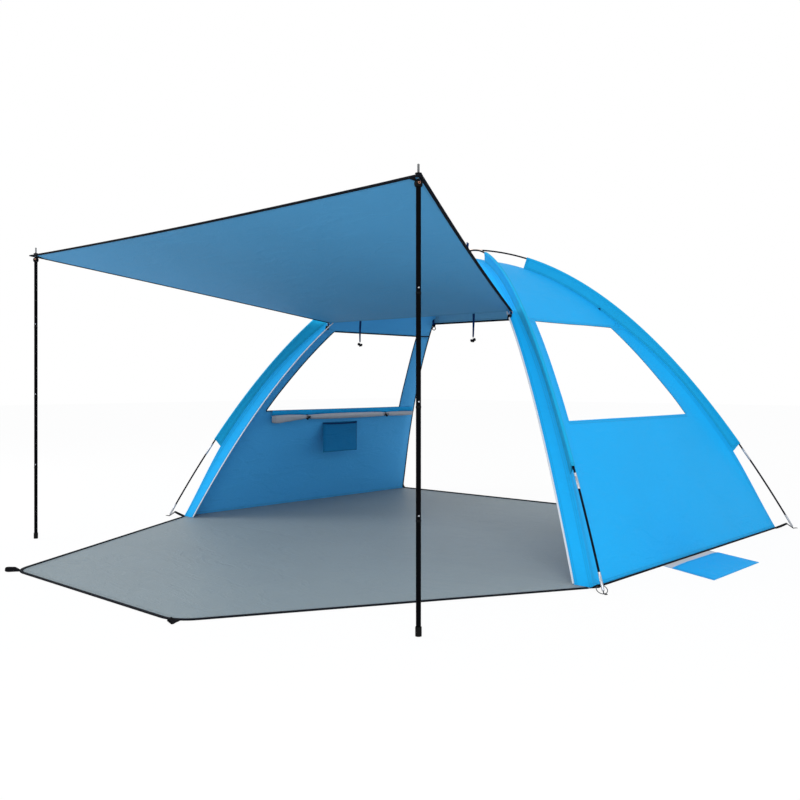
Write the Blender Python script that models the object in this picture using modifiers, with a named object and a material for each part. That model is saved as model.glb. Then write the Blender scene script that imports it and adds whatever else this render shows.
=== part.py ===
"""Beach tent with two crossed bent poles, a fold-down door mat and an awning on two upright poles.

Metres, +Z up, front towards -Y, origin on the ground at the middle of the floor.
The cloth is a vault of four panels. Each panel is bent one way only, along z = height * (1 - share ** 2),
where share is 0 at the top and 1 at the floor, so every panel edge lies on a parabola that runs from a floor
corner to the top. The bent poles follow a slightly larger parabola outside it.
"""

import math

import bmesh
import bpy
from mathutils import Matrix, Vector

# Cloth vault
HALF_WIDTH = 1.50
HALF_DEPTH = 1.055
CANOPY_HEIGHT = 1.63
FABRIC = 0.002
FIT_GAP = 0.0003
SEAM_HALF = 0.0026
APEX_HALF = 0.008
FRONT_SEAM_HEIGHT = 1.245
REAR_EDGE_HEIGHT = 1.285
STRIP_TOP_WIDTH = 0.062
STRIP_BASE_WIDTH = 0.095
CORNER_CUT = 0.010
CUT_OVERRUN = 0.02

# Side windows, measured from the bent edges of the wall
WINDOW_TOP = 1.196
WINDOW_SILL = 0.697
WINDOW_FRONT_MARGIN = 0.137
WINDOW_REAR_MARGIN_TOP = 0.151
WINDOW_REAR_MARGIN_SILL = 0.191

# Bent poles and their sleeves
POLE_RISE = 0.055
POLE_STEP = 0.0125
FOOT_REACH = 0.100
ROD_RADIUS = 0.00475
FERRULE_RADIUS = 0.0060
FERRULE_LENGTH = 0.080
SOCKET_GAP = 0.00035
TIP_LENGTH = 0.080
TIP_SOCKET = 0.036
APEX_FERRULE_START = 0.012
SLEEVE_TOP_SHARE = 0.20
SLEEVE_BOTTOM_HEIGHT = 0.50
SLEEVE_RADIUS = 0.0085
SLEEVE_CLOTH = 0.0010
SLEEVE_ROOT = 0.0009
SLEEVE_ROOT_DEPTH = 0.0010
SLEEVE_ROOT_RISE = 0.020
SLEEVE_SPREAD = 0.0027
BARE_ROD = 0.035

# Pin rings and webbing at the four corners
RING_RADIUS = 0.0235
RING_WIRE = 0.0015
RING_SLOPE = math.radians(36)
PIN_RADIUS = 0.0023
PIN_LENGTH = 0.044
PIN_SHOULDER = 0.012
WEBBING = 0.0018
WEBBING_WIDTH = 0.016
LOOP_SLACK = 0.0018
LOOP_WALL = 0.0008
LOOP_NECK = 0.012
STRAP_FLAT = 0.004

# Tie round the pole crossing
TIE_WIDTH = 0.012
TIE_WALL = 0.0015
TIE_HALF_SLOT = 0.014
TIE_TAIL = 0.045
TIE_LIFT = 0.0012

# Awning and its upright poles
AWNING_REAR_INSET = 0.029
AWNING_POLE_X = 1.4165
AWNING_POLE_Y = -2.078
AWNING_POLE_HEIGHT = 1.571
AWNING_SIDE_LAP = 0.030
AWNING_FRONT_LAP = 0.022
GROMMET_RADIUS = 0.0042
UPRIGHT_RADIUS = 0.0090
UPRIGHT_WALL = 0.0010
UPRIGHT_SECTIONS = 4
SPIGOT_LENGTH = 0.050
SHOULDER_DROP = 0.0046
SHOULDER_RADIUS = 0.0045
SHOULDER_CONE = 0.004
SPIKE_RADIUS = 0.00325
SPIKE_POINT = 0.0012
SPIKE_TAPER = 0.008
SPIKE_RISE = 0.040
SPIKE_SOCKET = 0.020
FOOT_RADIUS = 0.0115
FOOT_HEIGHT = 0.032
FOOT_FLOOR = 0.004

# Door that folds down as a mat, with its stake loops
MAT_REAR_INSET = 0.016
MAT_FRONT_HALF = 0.640
MAT_LENGTH = 1.480
MAT_CORNER = 0.140
STAKE_LOOP_WIDTH = 0.028
STAKE_LOOP_LENGTH = 0.078
STAKE_SLOT_RADIUS = 0.0032
STAKE_SLOT_LENGTH = 0.024

# Pockets
SAND_POCKET_FRONT = -0.42
SAND_POCKET_REAR = 0.10
SAND_POCKET_SKEW = 0.14
SAND_POCKET_REACH = 0.31
SAND_POCKET_LIP = 0.060
SAND_POCKET_HOLLOW = 0.006
SAND_POCKET_HEM = 0.012
WALL_POCKET_FRONT = -0.117
WALL_POCKET_REAR = 0.216
WALL_POCKET_TOP = 0.588
WALL_POCKET_BOTTOM = 0.378
WALL_POCKET_HOLLOW = 0.006
WALL_POCKET_HEM = 0.010
POCKET_CLOTH = 0.0015

# Rolled window covers
ROLL_SEAT_HEIGHT = 0.648
ROLL_RADIUS = 0.022
ROLL_FRONT = -0.620
ROLL_REAR = 0.765
ROLL_SIDES = 14
ROLL_LAYERS = 3
ROLL_TWIST = 5
ROLL_CREASE_SHARE = 0.16
ROLL_FULL_SHARE = 0.5

# Ties that hang from the roof's front edge
ROOF_TIE_X = 0.437
ROOF_TIE_INSET = 0.010
ROOF_TIE_LENGTH = 0.150
ROOF_TIE_WIDTH = 0.010
ROOF_TIE_THICKNESS = 0.0016
TOGGLE_RADIUS = 0.009
TOGGLE_LENGTH = 0.024
TOGGLE_ROUND = 0.003

# Facets
ROUND_STEPS = 12
ARC_POINTS = 5
WALL_ROWS = 18
ROOF_ROWS = 8
STRIP_ROWS = 12
CLOTH_COLUMNS = 4
SLEEVE_ROWS = 9
AWNING_ROWS = 6
MAT_CORNER_POINTS = 6

TENT_WIDTH = 2 * HALF_WIDTH
MAT_REAR_HALF = HALF_WIDTH - MAT_REAR_INSET
VAULT_REACH = math.hypot(HALF_WIDTH, HALF_DEPTH)
POLE_HEIGHT = CANOPY_HEIGHT + POLE_RISE
POLE_REACH = VAULT_REACH + FOOT_REACH
UP = Vector((0, 0, 1))
SIDES = (("left", -1), ("right", 1))
CORNERS = {
    "front_left": Vector((-1, -1)),
    "rear_right": Vector((1, 1)),
    "front_right": Vector((1, -1)),
    "rear_left": Vector((-1, 1)),
}
UPPER_POLE = ("front_left", "rear_right")
LOWER_POLE = ("front_right", "rear_left")


def share_at(height):
    """How far down a panel a height lies: 0 at the top, 1 at the floor."""
    return math.sqrt(1 - height / CANOPY_HEIGHT)


def panel_base(half_span):
    """The share at a panel's outer lower edge, so that its inner edge clears the floor."""
    return share_at(FABRIC + FIT_GAP + FABRIC / math.hypot(1, 2 * CANOPY_HEIGHT / half_span))


def between(first, second, share):
    return first + (second - first) * share


def vault_height(share):
    return CANOPY_HEIGHT * (1 - share**2)


def row_height(share, top, base, rows):
    """The height of a panel's outer face between two of its rows, where the panel is flat."""
    step = (base - top) / rows
    row = min(int((share - top) / step), rows - 1)
    upper = top + row * step
    return between(vault_height(upper), vault_height(upper + step), (share - upper) / step)


SEAM_INSET_X = SEAM_HALF * VAULT_REACH / HALF_DEPTH
SEAM_INSET_Y = SEAM_HALF * VAULT_REACH / HALF_WIDTH
APEX_SHARE = APEX_HALF / HALF_DEPTH
SEAM_SHARE = share_at(FRONT_SEAM_HEIGHT)
SEAM_Y = -HALF_DEPTH * SEAM_SHARE
AWNING_REAR_HALF = HALF_WIDTH * SEAM_SHARE - AWNING_REAR_INSET
WALL_BASE_SHARE = panel_base(HALF_WIDTH)


def clear_scene():
    for obj in list(bpy.data.objects):
        bpy.data.objects.remove(obj, do_unlink=True)


def new_collection(name):
    collection = bpy.data.collections.new(name)
    bpy.context.scene.collection.children.link(collection)
    return collection


clear_scene()
PARTS = new_collection("beach_tent")
CUTTERS = new_collection("cutters")


def material(name, colour, roughness, metallic=0.0):
    made = bpy.data.materials.new(name)
    made.use_nodes = True
    shader = made.node_tree.nodes["Principled BSDF"]
    shader.inputs["Base Color"].default_value = (*colour, 1)
    shader.inputs["Roughness"].default_value = roughness
    shader.inputs["Metallic"].default_value = metallic
    return made


BLUE_CLOTH = material("blue_cloth", (0.03, 0.41, 0.88), 0.75)
SLEEVE_CLOTH_BLUE = material("sleeve_cloth", (0.02, 0.29, 0.70), 0.75)
AWNING_CLOTH = material("awning_cloth", (0.07, 0.22, 0.40), 0.8)
POCKET_BLUE = material("pocket_cloth", (0.01, 0.08, 0.20), 0.8)
GROUND_SHEET = material("ground_sheet", (0.22, 0.27, 0.29), 0.7)
COVER_GREY = material("cover_lining", (0.45, 0.45, 0.48), 0.6)
BLACK_WEBBING = material("black_webbing", (0.012, 0.012, 0.014), 0.85)
FIBREGLASS = material("fibreglass_rod", (0.012, 0.012, 0.02), 0.4)
STEEL = material("steel", (0.62, 0.64, 0.68), 0.35, 1.0)
BLACK_TUBE = material("black_tube", (0.015, 0.015, 0.016), 0.4)
BLACK_RUBBER = material("black_rubber", (0.01, 0.01, 0.01), 0.9)
TOGGLE_PLASTIC = material("toggle_plastic", (0.01, 0.01, 0.011), 0.5)


def add_object(name, data, finish, collection=PARTS):
    obj = bpy.data.objects.new(name, data)
    collection.objects.link(obj)
    if finish:
        data.materials.append(finish)
    return obj


def mesh_of(bm, name):
    mesh = bpy.data.meshes.new(name)
    bm.to_mesh(mesh)
    bm.free()
    return mesh


def as_cutter(obj):
    for collection in list(obj.users_collection):
        collection.objects.unlink(obj)
    CUTTERS.objects.link(obj)
    obj.hide_render = True
    obj.display_type = "WIRE"
    return obj


def boolean(obj, other, operation):
    cut = obj.modifiers.new(other.name, "BOOLEAN")
    cut.object = other
    cut.operation = operation
    cut.solver = "EXACT"


def sheet(name, place, outward, finish, thickness=FABRIC, rows=WALL_ROWS, columns=CLOTH_COLUMNS):
    """A cloth panel: a grid bent to place(along, across), both 0 to 1, and thickened to its inner side."""
    bm = bmesh.new()
    bmesh.ops.create_grid(bm, x_segments=columns, y_segments=rows, size=1)
    for vertex in bm.verts:
        vertex.co = place((vertex.co.y + 1) / 2, (vertex.co.x + 1) / 2)
    bm.normal_update()
    facing = sum((face.normal * face.calc_area() for face in bm.faces), Vector())
    if facing.dot(outward) < 0:
        bmesh.ops.reverse_faces(bm, faces=bm.faces[:])
    obj = add_object(name, mesh_of(bm, name), finish)
    wall = obj.modifiers.new("thickness", "SOLIDIFY")
    wall.thickness = thickness
    wall.offset = -1
    obj.data.shade_smooth()
    return obj


def prism(name, outline, depth, finish, collection=PARTS):
    """A flat outline of Vectors, pushed along the vector depth."""
    bm = bmesh.new()
    face = bm.faces.new([bm.verts.new(point) for point in outline])
    pushed = bmesh.ops.extrude_face_region(bm, geom=[face])["geom"]
    moved = [item for item in pushed if isinstance(item, bmesh.types.BMVert)]
    bmesh.ops.translate(bm, verts=moved, vec=depth)
    bmesh.ops.recalc_face_normals(bm, faces=bm.faces[:])
    return add_object(name, mesh_of(bm, name), finish, collection)


def turned(name, profile, finish, closed=False, steps=ROUND_STEPS):
    """A turned piece about its own Z axis. The profile is (radius, height), down its outer side."""
    bm = bmesh.new()
    points = [bm.verts.new((radius, 0, height)) for radius, height in profile]
    for first, second in zip(points, points[1:]):
        bm.edges.new((first, second))
    if closed:
        bm.edges.new((points[-1], points[0]))
    obj = add_object(name, mesh_of(bm, name), finish)
    screw = obj.modifiers.new("turn", "SCREW")
    screw.steps = steps
    screw.render_steps = steps
    screw.use_merge_vertices = True
    screw.merge_threshold = 0.00001
    screw.use_smooth_shade = True
    return obj


def aim(obj, start, direction):
    """Puts a piece's own Z axis on a line."""
    obj.location = start
    obj.rotation_mode = "QUATERNION"
    obj.rotation_quaternion = direction.to_track_quat("Z", "Y")


def tube_curve(name, points, radius, finish, radii=None, sides=2):
    data = bpy.data.curves.new(name, "CURVE")
    data.dimensions = "3D"
    data.bevel_depth = radius
    data.bevel_resolution = sides
    data.use_fill_caps = True
    spline = data.splines.new("POLY")
    spline.points.add(len(points) - 1)
    for index, point in enumerate(points):
        spline.points[index].co = (*point, 1)
        spline.points[index].radius = radii[index] if radii else 1
    return add_object(name, data, finish)


def outline_solid(name, loops, width, finish):
    """Flat closed outlines of (along, up) points, the later ones holes, with a width across them."""
    data = bpy.data.curves.new(name, "CURVE")
    data.dimensions = "2D"
    data.fill_mode = "BOTH"
    data.extrude = width / 2
    for loop in loops:
        spline = data.splines.new("POLY")
        spline.points.add(len(loop) - 1)
        for index, (along, up) in enumerate(loop):
            spline.points[index].co = (along, up, 0, 1)
        spline.use_cyclic_u = True
    return add_object(name, data, finish)


def stand(obj, location, along, up):
    """Places a piece whose own X axis runs along one way and own Y axis up another."""
    turn = Matrix((along, up, along.cross(up))).transposed().to_4x4()
    obj.matrix_world = Matrix.Translation(location) @ turn


def arc(centre, radius, start, end, count=ARC_POINTS):
    """Points on an arc, its angles in degrees."""
    angles = [math.radians(start + (end - start) * step / (count - 1)) for step in range(count)]
    return [(centre[0] + radius * math.cos(a), centre[1] + radius * math.sin(a)) for a in angles]


def side_wall(name, side):
    def place(along, across):
        share = between(APEX_SHARE, WALL_BASE_SHARE, along)
        reach = HALF_DEPTH * share - SEAM_INSET_Y
        return Vector((side * HALF_WIDTH * share, reach * (2 * across - 1), vault_height(share)))

    wall = sheet(name, place, Vector((side, 0, 1)), BLUE_CLOTH)
    boolean(wall, WINDOW_CUTTER, "DIFFERENCE")


def window_outline():
    """The window seen from the side: straight sill and top, and two edges that follow the bent seams."""
    heights = [between(WINDOW_TOP, WINDOW_SILL, step / ARC_POINTS) for step in range(ARC_POINTS + 1)]
    front = []
    rear = []
    for height in heights:
        seam = HALF_DEPTH * share_at(height)
        down = (WINDOW_TOP - height) / (WINDOW_TOP - WINDOW_SILL)
        margin = between(WINDOW_REAR_MARGIN_TOP, WINDOW_REAR_MARGIN_SILL, down)
        front.append(Vector((-TENT_WIDTH, WINDOW_FRONT_MARGIN - seam, height)))
        rear.append(Vector((-TENT_WIDTH, seam - margin, height)))
    return front + rear[::-1]


WINDOW_CUTTER = prism("window_cutter", window_outline(), Vector((2 * TENT_WIDTH, 0, 0)), None)
as_cutter(WINDOW_CUTTER)


def roof(name, facing, edge_height):
    edge = share_at(edge_height)

    def place(along, across):
        share = between(APEX_SHARE, edge, along)
        reach = HALF_WIDTH * share - SEAM_INSET_X
        return Vector((reach * (2 * across - 1), facing * HALF_DEPTH * share, vault_height(share)))

    sheet(name, place, Vector((0, facing, 1)), BLUE_CLOTH, rows=ROOF_ROWS)


def front_strip(name, side):
    """The narrow strip that stays beside the door opening, from the floor to the roof's front edge."""
    top = share_at(FRONT_SEAM_HEIGHT - 2 * FIT_GAP)
    base = panel_base(HALF_DEPTH)

    def place(along, across):
        share = between(top, base, along)
        seam = HALF_WIDTH * share
        width = between(STRIP_TOP_WIDTH, STRIP_BASE_WIDTH, along)
        reach = between(seam - width, seam - SEAM_INSET_X, across)
        return Vector((side * reach, -HALF_DEPTH * share, vault_height(share)))

    sheet(name, place, Vector((0, -1, 1)), BLUE_CLOTH, rows=STRIP_ROWS, columns=1)


def floor_sheet():
    """The floor, its corners cut square to the pole line, where the corner webbing starts."""
    out = Vector((HALF_WIDTH, HALF_DEPTH)).normalized()
    along_x = CORNER_CUT / out.x
    along_y = CORNER_CUT / out.y
    quarter = [(HALF_WIDTH, HALF_DEPTH - along_y), (HALF_WIDTH - along_x, HALF_DEPTH)]
    outline = quarter
    outline = outline + [(-x, y) for x, y in reversed(quarter)]
    outline = outline + [(-x, -y) for x, y in quarter]
    outline = outline + [(x, -y) for x, y in reversed(quarter)]
    floor = outline_solid("floor_sheet", [outline], FABRIC, GROUND_SHEET)
    floor.location = (0, 0, FABRIC / 2)


def outward(corner):
    """The level direction from the middle of the floor to a corner."""
    return Vector((corner.x * HALF_WIDTH, corner.y * HALF_DEPTH, 0)).normalized()


def pole_height(name):
    return POLE_HEIGHT + (POLE_STEP / 2 if name in UPPER_POLE else -POLE_STEP / 2)


def pole_point(name, share):
    """A point on the bent pole: share 0 at the crossing, 1 where its axis would reach the ground."""
    level = outward(CORNERS[name]) * POLE_REACH * share
    return level + UP * pole_height(name) * (1 - share**2)


def pole_direction(name, share):
    """Unit vector along the pole towards the crossing."""
    step = outward(CORNERS[name]) * POLE_REACH - UP * 2 * pole_height(name) * share
    return -step.normalized()


def share_below(name, share, length):
    """The share that lies a length further down the pole."""
    speed = math.hypot(POLE_REACH, 2 * pole_height(name) * share)
    middle = share + length / speed / 2
    return share + length / math.hypot(POLE_REACH, 2 * pole_height(name) * middle)


LOOP_RADIUS = RING_WIRE + LOOP_SLACK + LOOP_WALL
RING_OUTER_HEIGHT = RING_WIRE + FIT_GAP
RING_INNER_HEIGHT = RING_OUTER_HEIGHT + 2 * RING_RADIUS * math.sin(RING_SLOPE)
SLEEVE_BOTTOM_SHARE = math.sqrt(1 - SLEEVE_BOTTOM_HEIGHT / POLE_HEIGHT)
SLEEVE_SHARES = [
    between(SLEEVE_TOP_SHARE, SLEEVE_BOTTOM_SHARE, step / SLEEVE_ROWS) for step in range(SLEEVE_ROWS + 1)
]


def sleeve(name):
    """A folded strip of cloth: both edges sewn into the seam, the fold round the pole."""
    out = outward(CORNERS[name])
    across_way = out.cross(UP)
    half = [(-SLEEVE_ROOT_DEPTH, SLEEVE_ROOT), (SLEEVE_ROOT_RISE, SLEEVE_SPREAD)]
    fold = arc((0, 0), SLEEVE_RADIUS, 130, 0, ARC_POINTS)
    columns = 2 * len(half) + 2 * len(fold) - 2

    def section(share):
        seam = out * VAULT_REACH * share + UP * vault_height(share)
        pole = pole_point(name, share)
        rise = (pole - seam).length
        side = [(along, across) for along, across in half]
        side += [(rise + along, across) for along, across in fold]
        whole = side + [(along, -across) for along, across in reversed(side[:-1])]
        lift = (pole - seam).normalized()
        return [seam + lift * along + across_way * across for along, across in whole]

    def place(along, across):
        share = SLEEVE_SHARES[round(along * SLEEVE_ROWS)]
        return section(share)[round(across * columns)]

    bm = bmesh.new()
    bmesh.ops.create_grid(bm, x_segments=columns, y_segments=SLEEVE_ROWS, size=1)
    for vertex in bm.verts:
        vertex.co = place((vertex.co.y + 1) / 2, (vertex.co.x + 1) / 2)
    bm.normal_update()
    middle = section(SLEEVE_SHARES[0])[columns // 2]
    top = min(bm.faces, key=lambda face: (face.calc_center_median() - middle).length)
    if top.normal.dot(pole_point(name, SLEEVE_TOP_SHARE) - middle) > 0:
        bmesh.ops.reverse_faces(bm, faces=bm.faces[:])
    obj = add_object(f"pole_sleeve_{name}", mesh_of(bm, name), SLEEVE_CLOTH_BLUE)
    wall = obj.modifiers.new("thickness", "SOLIDIFY")
    wall.thickness = SLEEVE_CLOTH
    wall.offset = 0
    wall.use_even_offset = True
    obj.data.shade_smooth()


def ring_point(name):
    """Where the pin leaves its ring: on the pole's axis, at the ring's outer side."""
    share = math.sqrt(1 - RING_OUTER_HEIGHT / pole_height(name))
    return pole_point(name, share), pole_direction(name, share)


def ring_pin(name):
    """A wire ring with a pin on its outer side, the pin up inside the pole's tip."""
    out = outward(CORNERS[name])
    base, axis = ring_point(name)
    along = out * math.cos(RING_SLOPE) - UP * math.sin(RING_SLOPE)
    across = UP.cross(out)
    bpy.ops.mesh.primitive_torus_add(
        major_radius=RING_RADIUS, minor_radius=RING_WIRE, major_segments=20, minor_segments=6
    )
    ring = bpy.context.object
    ring.name = f"ring_pin_{name}"
    for collection in list(ring.users_collection):
        collection.objects.unlink(ring)
    PARTS.objects.link(ring)
    ring.data.materials.append(STEEL)
    stand(ring, base - along * RING_RADIUS, along, across)
    bm = bmesh.new()
    bmesh.ops.create_cone(
        bm, cap_ends=True, segments=8, radius1=PIN_RADIUS, radius2=PIN_RADIUS, depth=PIN_LENGTH
    )
    bmesh.ops.translate(bm, verts=bm.verts[:], vec=UP * PIN_LENGTH / 2)
    pin = as_cutter(add_object(f"pin_{name}", mesh_of(bm, f"pin_{name}"), None))
    aim(pin, base, axis)
    boolean(ring, pin, "UNION")


def corner_webbing(name):
    """A strap that rises from the floor's cut corner and folds round the top of the ring."""
    out = outward(CORNERS[name])
    base, _ = ring_point(name)
    root = VAULT_REACH - CORNER_CUT + FIT_GAP
    level = Vector((base.x, base.y)).length - 2 * RING_RADIUS * math.cos(RING_SLOPE) - root - STRAP_FLAT
    rise = math.atan2(RING_INNER_HEIGHT, level)
    rise = rise - math.asin(LOOP_RADIUS / math.hypot(level, RING_INNER_HEIGHT))
    wire = level * math.cos(rise) + RING_INNER_HEIGHT * math.sin(rise)
    bow = RING_RADIUS - math.sqrt(RING_RADIUS**2 - (WEBBING_WIDTH / 2) ** 2)
    end = wire + bow
    slot = RING_WIRE + LOOP_SLACK

    def raised(points):
        """Turns points on the strap's straight part up about the end of its flat part."""
        cos, sin = math.cos(rise), math.sin(rise)
        return [(STRAP_FLAT + x * cos - y * sin, x * sin + y * cos) for x, y in points]

    over = [(wire, 2 * LOOP_RADIUS), (wire - LOOP_NECK, WEBBING)]
    outer = [(0, 0), (STRAP_FLAT, 0)] + raised(arc((end, LOOP_RADIUS), LOOP_RADIUS, -90, 90) + over)
    outer += [(STRAP_FLAT - WEBBING * math.tan(rise / 2), WEBBING), (0, WEBBING)]
    hole = arc((end, LOOP_RADIUS), slot, 90, -90) + arc((wire, LOOP_RADIUS), slot, -90, -270)
    strap = outline_solid(f"corner_webbing_{name}", [outer, raised(hole)], WEBBING_WIDTH, BLACK_WEBBING)
    stand(strap, out * root, out, UP)


def tube(name, start, direction, length, bores, finish):
    """A straight tube on a line. bores lists (radius, depth) from its upper end down."""
    profile = [(FERRULE_RADIUS, length), (FERRULE_RADIUS, 0)]
    level = length
    inner = []
    for radius, depth in bores:
        inner += [(radius, level), (radius, level - depth)]
        level -= depth
    profile += reversed(inner)
    aim(turned(name, profile, finish, closed=True), start, direction)


def pole_end(name):
    """The tip, lower rod and ferrule at one corner. It gives back where the upper rod starts."""
    base, axis = ring_point(name)
    socket = ROD_RADIUS + SOCKET_GAP
    tip_start = base + axis * PIN_SHOULDER
    bores = [(socket, TIP_SOCKET), (PIN_RADIUS + FIT_GAP, TIP_LENGTH - TIP_SOCKET)]
    tube(f"pole_tip_{name}", tip_start, axis, TIP_LENGTH, bores, STEEL)
    tip_end = tip_start + axis * TIP_LENGTH
    tip_floor = tip_end - axis * (TIP_SOCKET - FIT_GAP)
    upper = share_below(name, SLEEVE_BOTTOM_SHARE, BARE_ROD)
    lower = share_below(name, upper, FERRULE_LENGTH)
    ferrule_top = pole_point(name, upper)
    ferrule_base = pole_point(name, lower)
    line = (ferrule_top - ferrule_base).normalized()
    length = (ferrule_top - ferrule_base).length
    tube(f"pole_ferrule_{name}", ferrule_base, line, length, [(socket, length)], STEEL)
    level_share = Vector((tip_end.x, tip_end.y, 0)).length / POLE_REACH
    middle = [pole_point(name, between(level_share, lower, step / 3)) for step in (1, 2)]
    seat = ferrule_base + line * (length - FIT_GAP) / 2
    points = [tip_floor, tip_end, *middle, ferrule_base, seat]
    tube_curve(f"lower_rod_{name}", points, ROD_RADIUS, FIBREGLASS)
    return [ferrule_top - line * (length - FIT_GAP) / 2, ferrule_top]


def upper_rod(node, names, ends, crossing):
    """The rods inside two sleeves and over the top, as one bent rod."""
    first = ends[names[0]] + [pole_point(names[0], share) for share in reversed(SLEEVE_SHARES)]
    last = ends[names[1]] + [pole_point(names[1], share) for share in reversed(SLEEVE_SHARES)]
    tube_curve(node, first + crossing + last[::-1], ROD_RADIUS, FIBREGLASS)


def poles():
    ends = {name: pole_end(name) for name in CORNERS}
    far, near = UPPER_POLE
    start = APEX_FERRULE_START / POLE_REACH
    end = start + FERRULE_LENGTH / POLE_REACH
    half_way = SLEEVE_TOP_SHARE / 2
    low = pole_point(near, start)
    high = pole_point(near, end)
    line = (low - high).normalized()
    length = (low - high).length
    socket = ROD_RADIUS + SOCKET_GAP
    tube("apex_ferrule", high, line, length, [(socket, length)], STEEL)
    crossing = [pole_point(far, half_way), pole_point(far, start), low, high, pole_point(near, half_way)]
    upper_rod("upper_rod_over", UPPER_POLE, ends, crossing)
    far, near = LOWER_POLE
    crossing = [pole_point(far, half_way), pole_point(far, start), pole_point(near, start)]
    crossing.append(pole_point(near, half_way))
    upper_rod("upper_rod_under", LOWER_POLE, ends, crossing)


def apex_tie():
    """A cloth loop from the top of the vault round both rods, with its tails standing up."""
    base = vault_height(APEX_SHARE) + TIE_LIFT
    top = POLE_HEIGHT + POLE_STEP / 2 + ROD_RADIUS + FIT_GAP
    half = TIE_HALF_SLOT + TIE_WALL
    roof_line = top + TIE_WALL
    outer = [(-half, base), (half, base), (half, roof_line), (TIE_WALL, roof_line)]
    outer += [(TIE_WALL, roof_line + TIE_TAIL), (-TIE_WALL, roof_line + TIE_TAIL)]
    outer += [(-TIE_WALL, roof_line), (-half, roof_line)]
    floor = base + TIE_WALL
    slot = [(-TIE_HALF_SLOT, floor), (-TIE_HALF_SLOT, top), (TIE_HALF_SLOT, top), (TIE_HALF_SLOT, floor)]
    tie = outline_solid("apex_tie", [outer, slot], TIE_WIDTH, POCKET_BLUE)
    stand(tie, Vector(), Vector((0, 1, 0)), UP)


AWNING_REAR_Y = SEAM_Y - FIT_GAP - FABRIC * HALF_DEPTH / (2 * CANOPY_HEIGHT * SEAM_SHARE)
AWNING_SLOPE = (AWNING_POLE_HEIGHT - FRONT_SEAM_HEIGHT) / (AWNING_REAR_Y - AWNING_POLE_Y)


def awning_height(y):
    """The height of the awning's upper face."""
    return FRONT_SEAM_HEIGHT + AWNING_SLOPE * (AWNING_REAR_Y - y)


def awning():
    front_y = AWNING_POLE_Y - AWNING_FRONT_LAP

    def place(along, across):
        y = between(AWNING_REAR_Y, front_y, along)
        half = between(AWNING_REAR_HALF, AWNING_POLE_X + AWNING_SIDE_LAP, along)
        return Vector((half * (2 * across - 1), y, awning_height(y)))

    cloth = sheet("awning_sheet", place, UP, AWNING_CLOTH, rows=AWNING_ROWS, columns=AWNING_ROWS)
    lift = fold_line("awning_lift", Vector((0, AWNING_REAR_Y, FRONT_SEAM_HEIGHT)))
    hang(cloth, lift)
    for name, side in SIDES:
        bm = bmesh.new()
        bmesh.ops.create_cone(
            bm,
            cap_ends=True,
            segments=ROUND_STEPS,
            radius1=GROMMET_RADIUS,
            radius2=GROMMET_RADIUS,
            depth=CUT_OVERRUN,
        )
        hole = as_cutter(add_object(f"grommet_hole_{name}", mesh_of(bm, f"grommet_hole_{name}"), None))
        hole.location = (side * AWNING_POLE_X, AWNING_POLE_Y, AWNING_POLE_HEIGHT)
        boolean(cloth, hole, "DIFFERENCE")
    return lift


def upright_piece(name, profile, finish, swing, closed=False):
    """A turned piece of an awning pole, its heights measured from the ground."""
    piece = turned(name, profile, finish, closed)
    piece.location = (0, 0, -AWNING_POLE_HEIGHT)
    piece.parent = swing


def upright(name, side, lift):
    """An awning pole of plug-in sections, its spike through the awning's eyelet and a cap on its foot."""
    top = AWNING_POLE_HEIGHT - SHOULDER_DROP
    base = FOOT_FLOOR + FIT_GAP
    section = (top - base) / UPRIGHT_SECTIONS
    bore = UPRIGHT_RADIUS - UPRIGHT_WALL
    spigot = bore - FIT_GAP
    place = Vector((side * AWNING_POLE_X, AWNING_POLE_Y, 0))
    swing = fold_line(f"awning_pole_swing_{name}", place + UP * AWNING_POLE_HEIGHT - lift.location)
    swing.parent = lift
    for index in range(UPRIGHT_SECTIONS):
        upper = top - section * index
        lower = upper - section
        if index == 0:
            hole = SPIKE_RADIUS + FIT_GAP
            inner = [(bore, upper - SPIKE_SOCKET), (hole, upper - SPIKE_SOCKET), (hole, upper)]
            profile = [(SHOULDER_RADIUS, upper), (UPRIGHT_RADIUS, upper - SHOULDER_CONE)]
        else:
            inner = [(bore, upper - FIT_GAP)]
            profile = [(UPRIGHT_RADIUS, upper - FIT_GAP)]
        profile.append((UPRIGHT_RADIUS, lower))
        if index < UPRIGHT_SECTIONS - 1:
            end = lower - SPIGOT_LENGTH
            narrow = spigot - UPRIGHT_WALL
            profile += [(spigot, lower), (spigot, end), (narrow, end), (narrow, lower)]
            profile.append((bore, lower + UPRIGHT_WALL))
        else:
            profile.append((bore, lower))
        tube_name = f"awning_pole_{name}_section_{index + 1}"
        upright_piece(tube_name, profile + inner, BLACK_TUBE, swing, closed=True)
    spike_base = top - SPIKE_SOCKET + FIT_GAP
    spike_top = AWNING_POLE_HEIGHT + SPIKE_RISE
    profile = [(0, spike_top), (SPIKE_POINT, spike_top), (SPIKE_RADIUS, spike_top - SPIKE_TAPER)]
    profile += [(SPIKE_RADIUS, spike_base), (0, spike_base)]
    upright_piece(f"awning_pole_{name}_spike", profile, STEEL, swing)
    cup = UPRIGHT_RADIUS + FIT_GAP
    profile = [(0, FOOT_FLOOR), (cup, FOOT_FLOOR), (cup, FOOT_HEIGHT), (FOOT_RADIUS, FOOT_HEIGHT)]
    profile += [(FOOT_RADIUS, 0), (0, 0)]
    upright_piece(f"awning_pole_{name}_foot", profile, BLACK_RUBBER, swing)


def fold_line(name, location):
    """An empty on the line that a folding piece turns about."""
    empty = bpy.data.objects.new(name, None)
    PARTS.objects.link(empty)
    empty.location = location
    return empty


def hang(obj, empty):
    """Parents a placed piece to an empty and leaves it where it is."""
    obj.parent = empty
    obj.matrix_parent_inverse = Matrix.Translation(world_place(empty)).inverted()


def world_place(empty):
    place = empty.location.copy()
    while empty.parent:
        empty = empty.parent
        place += empty.location
    return place


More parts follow.
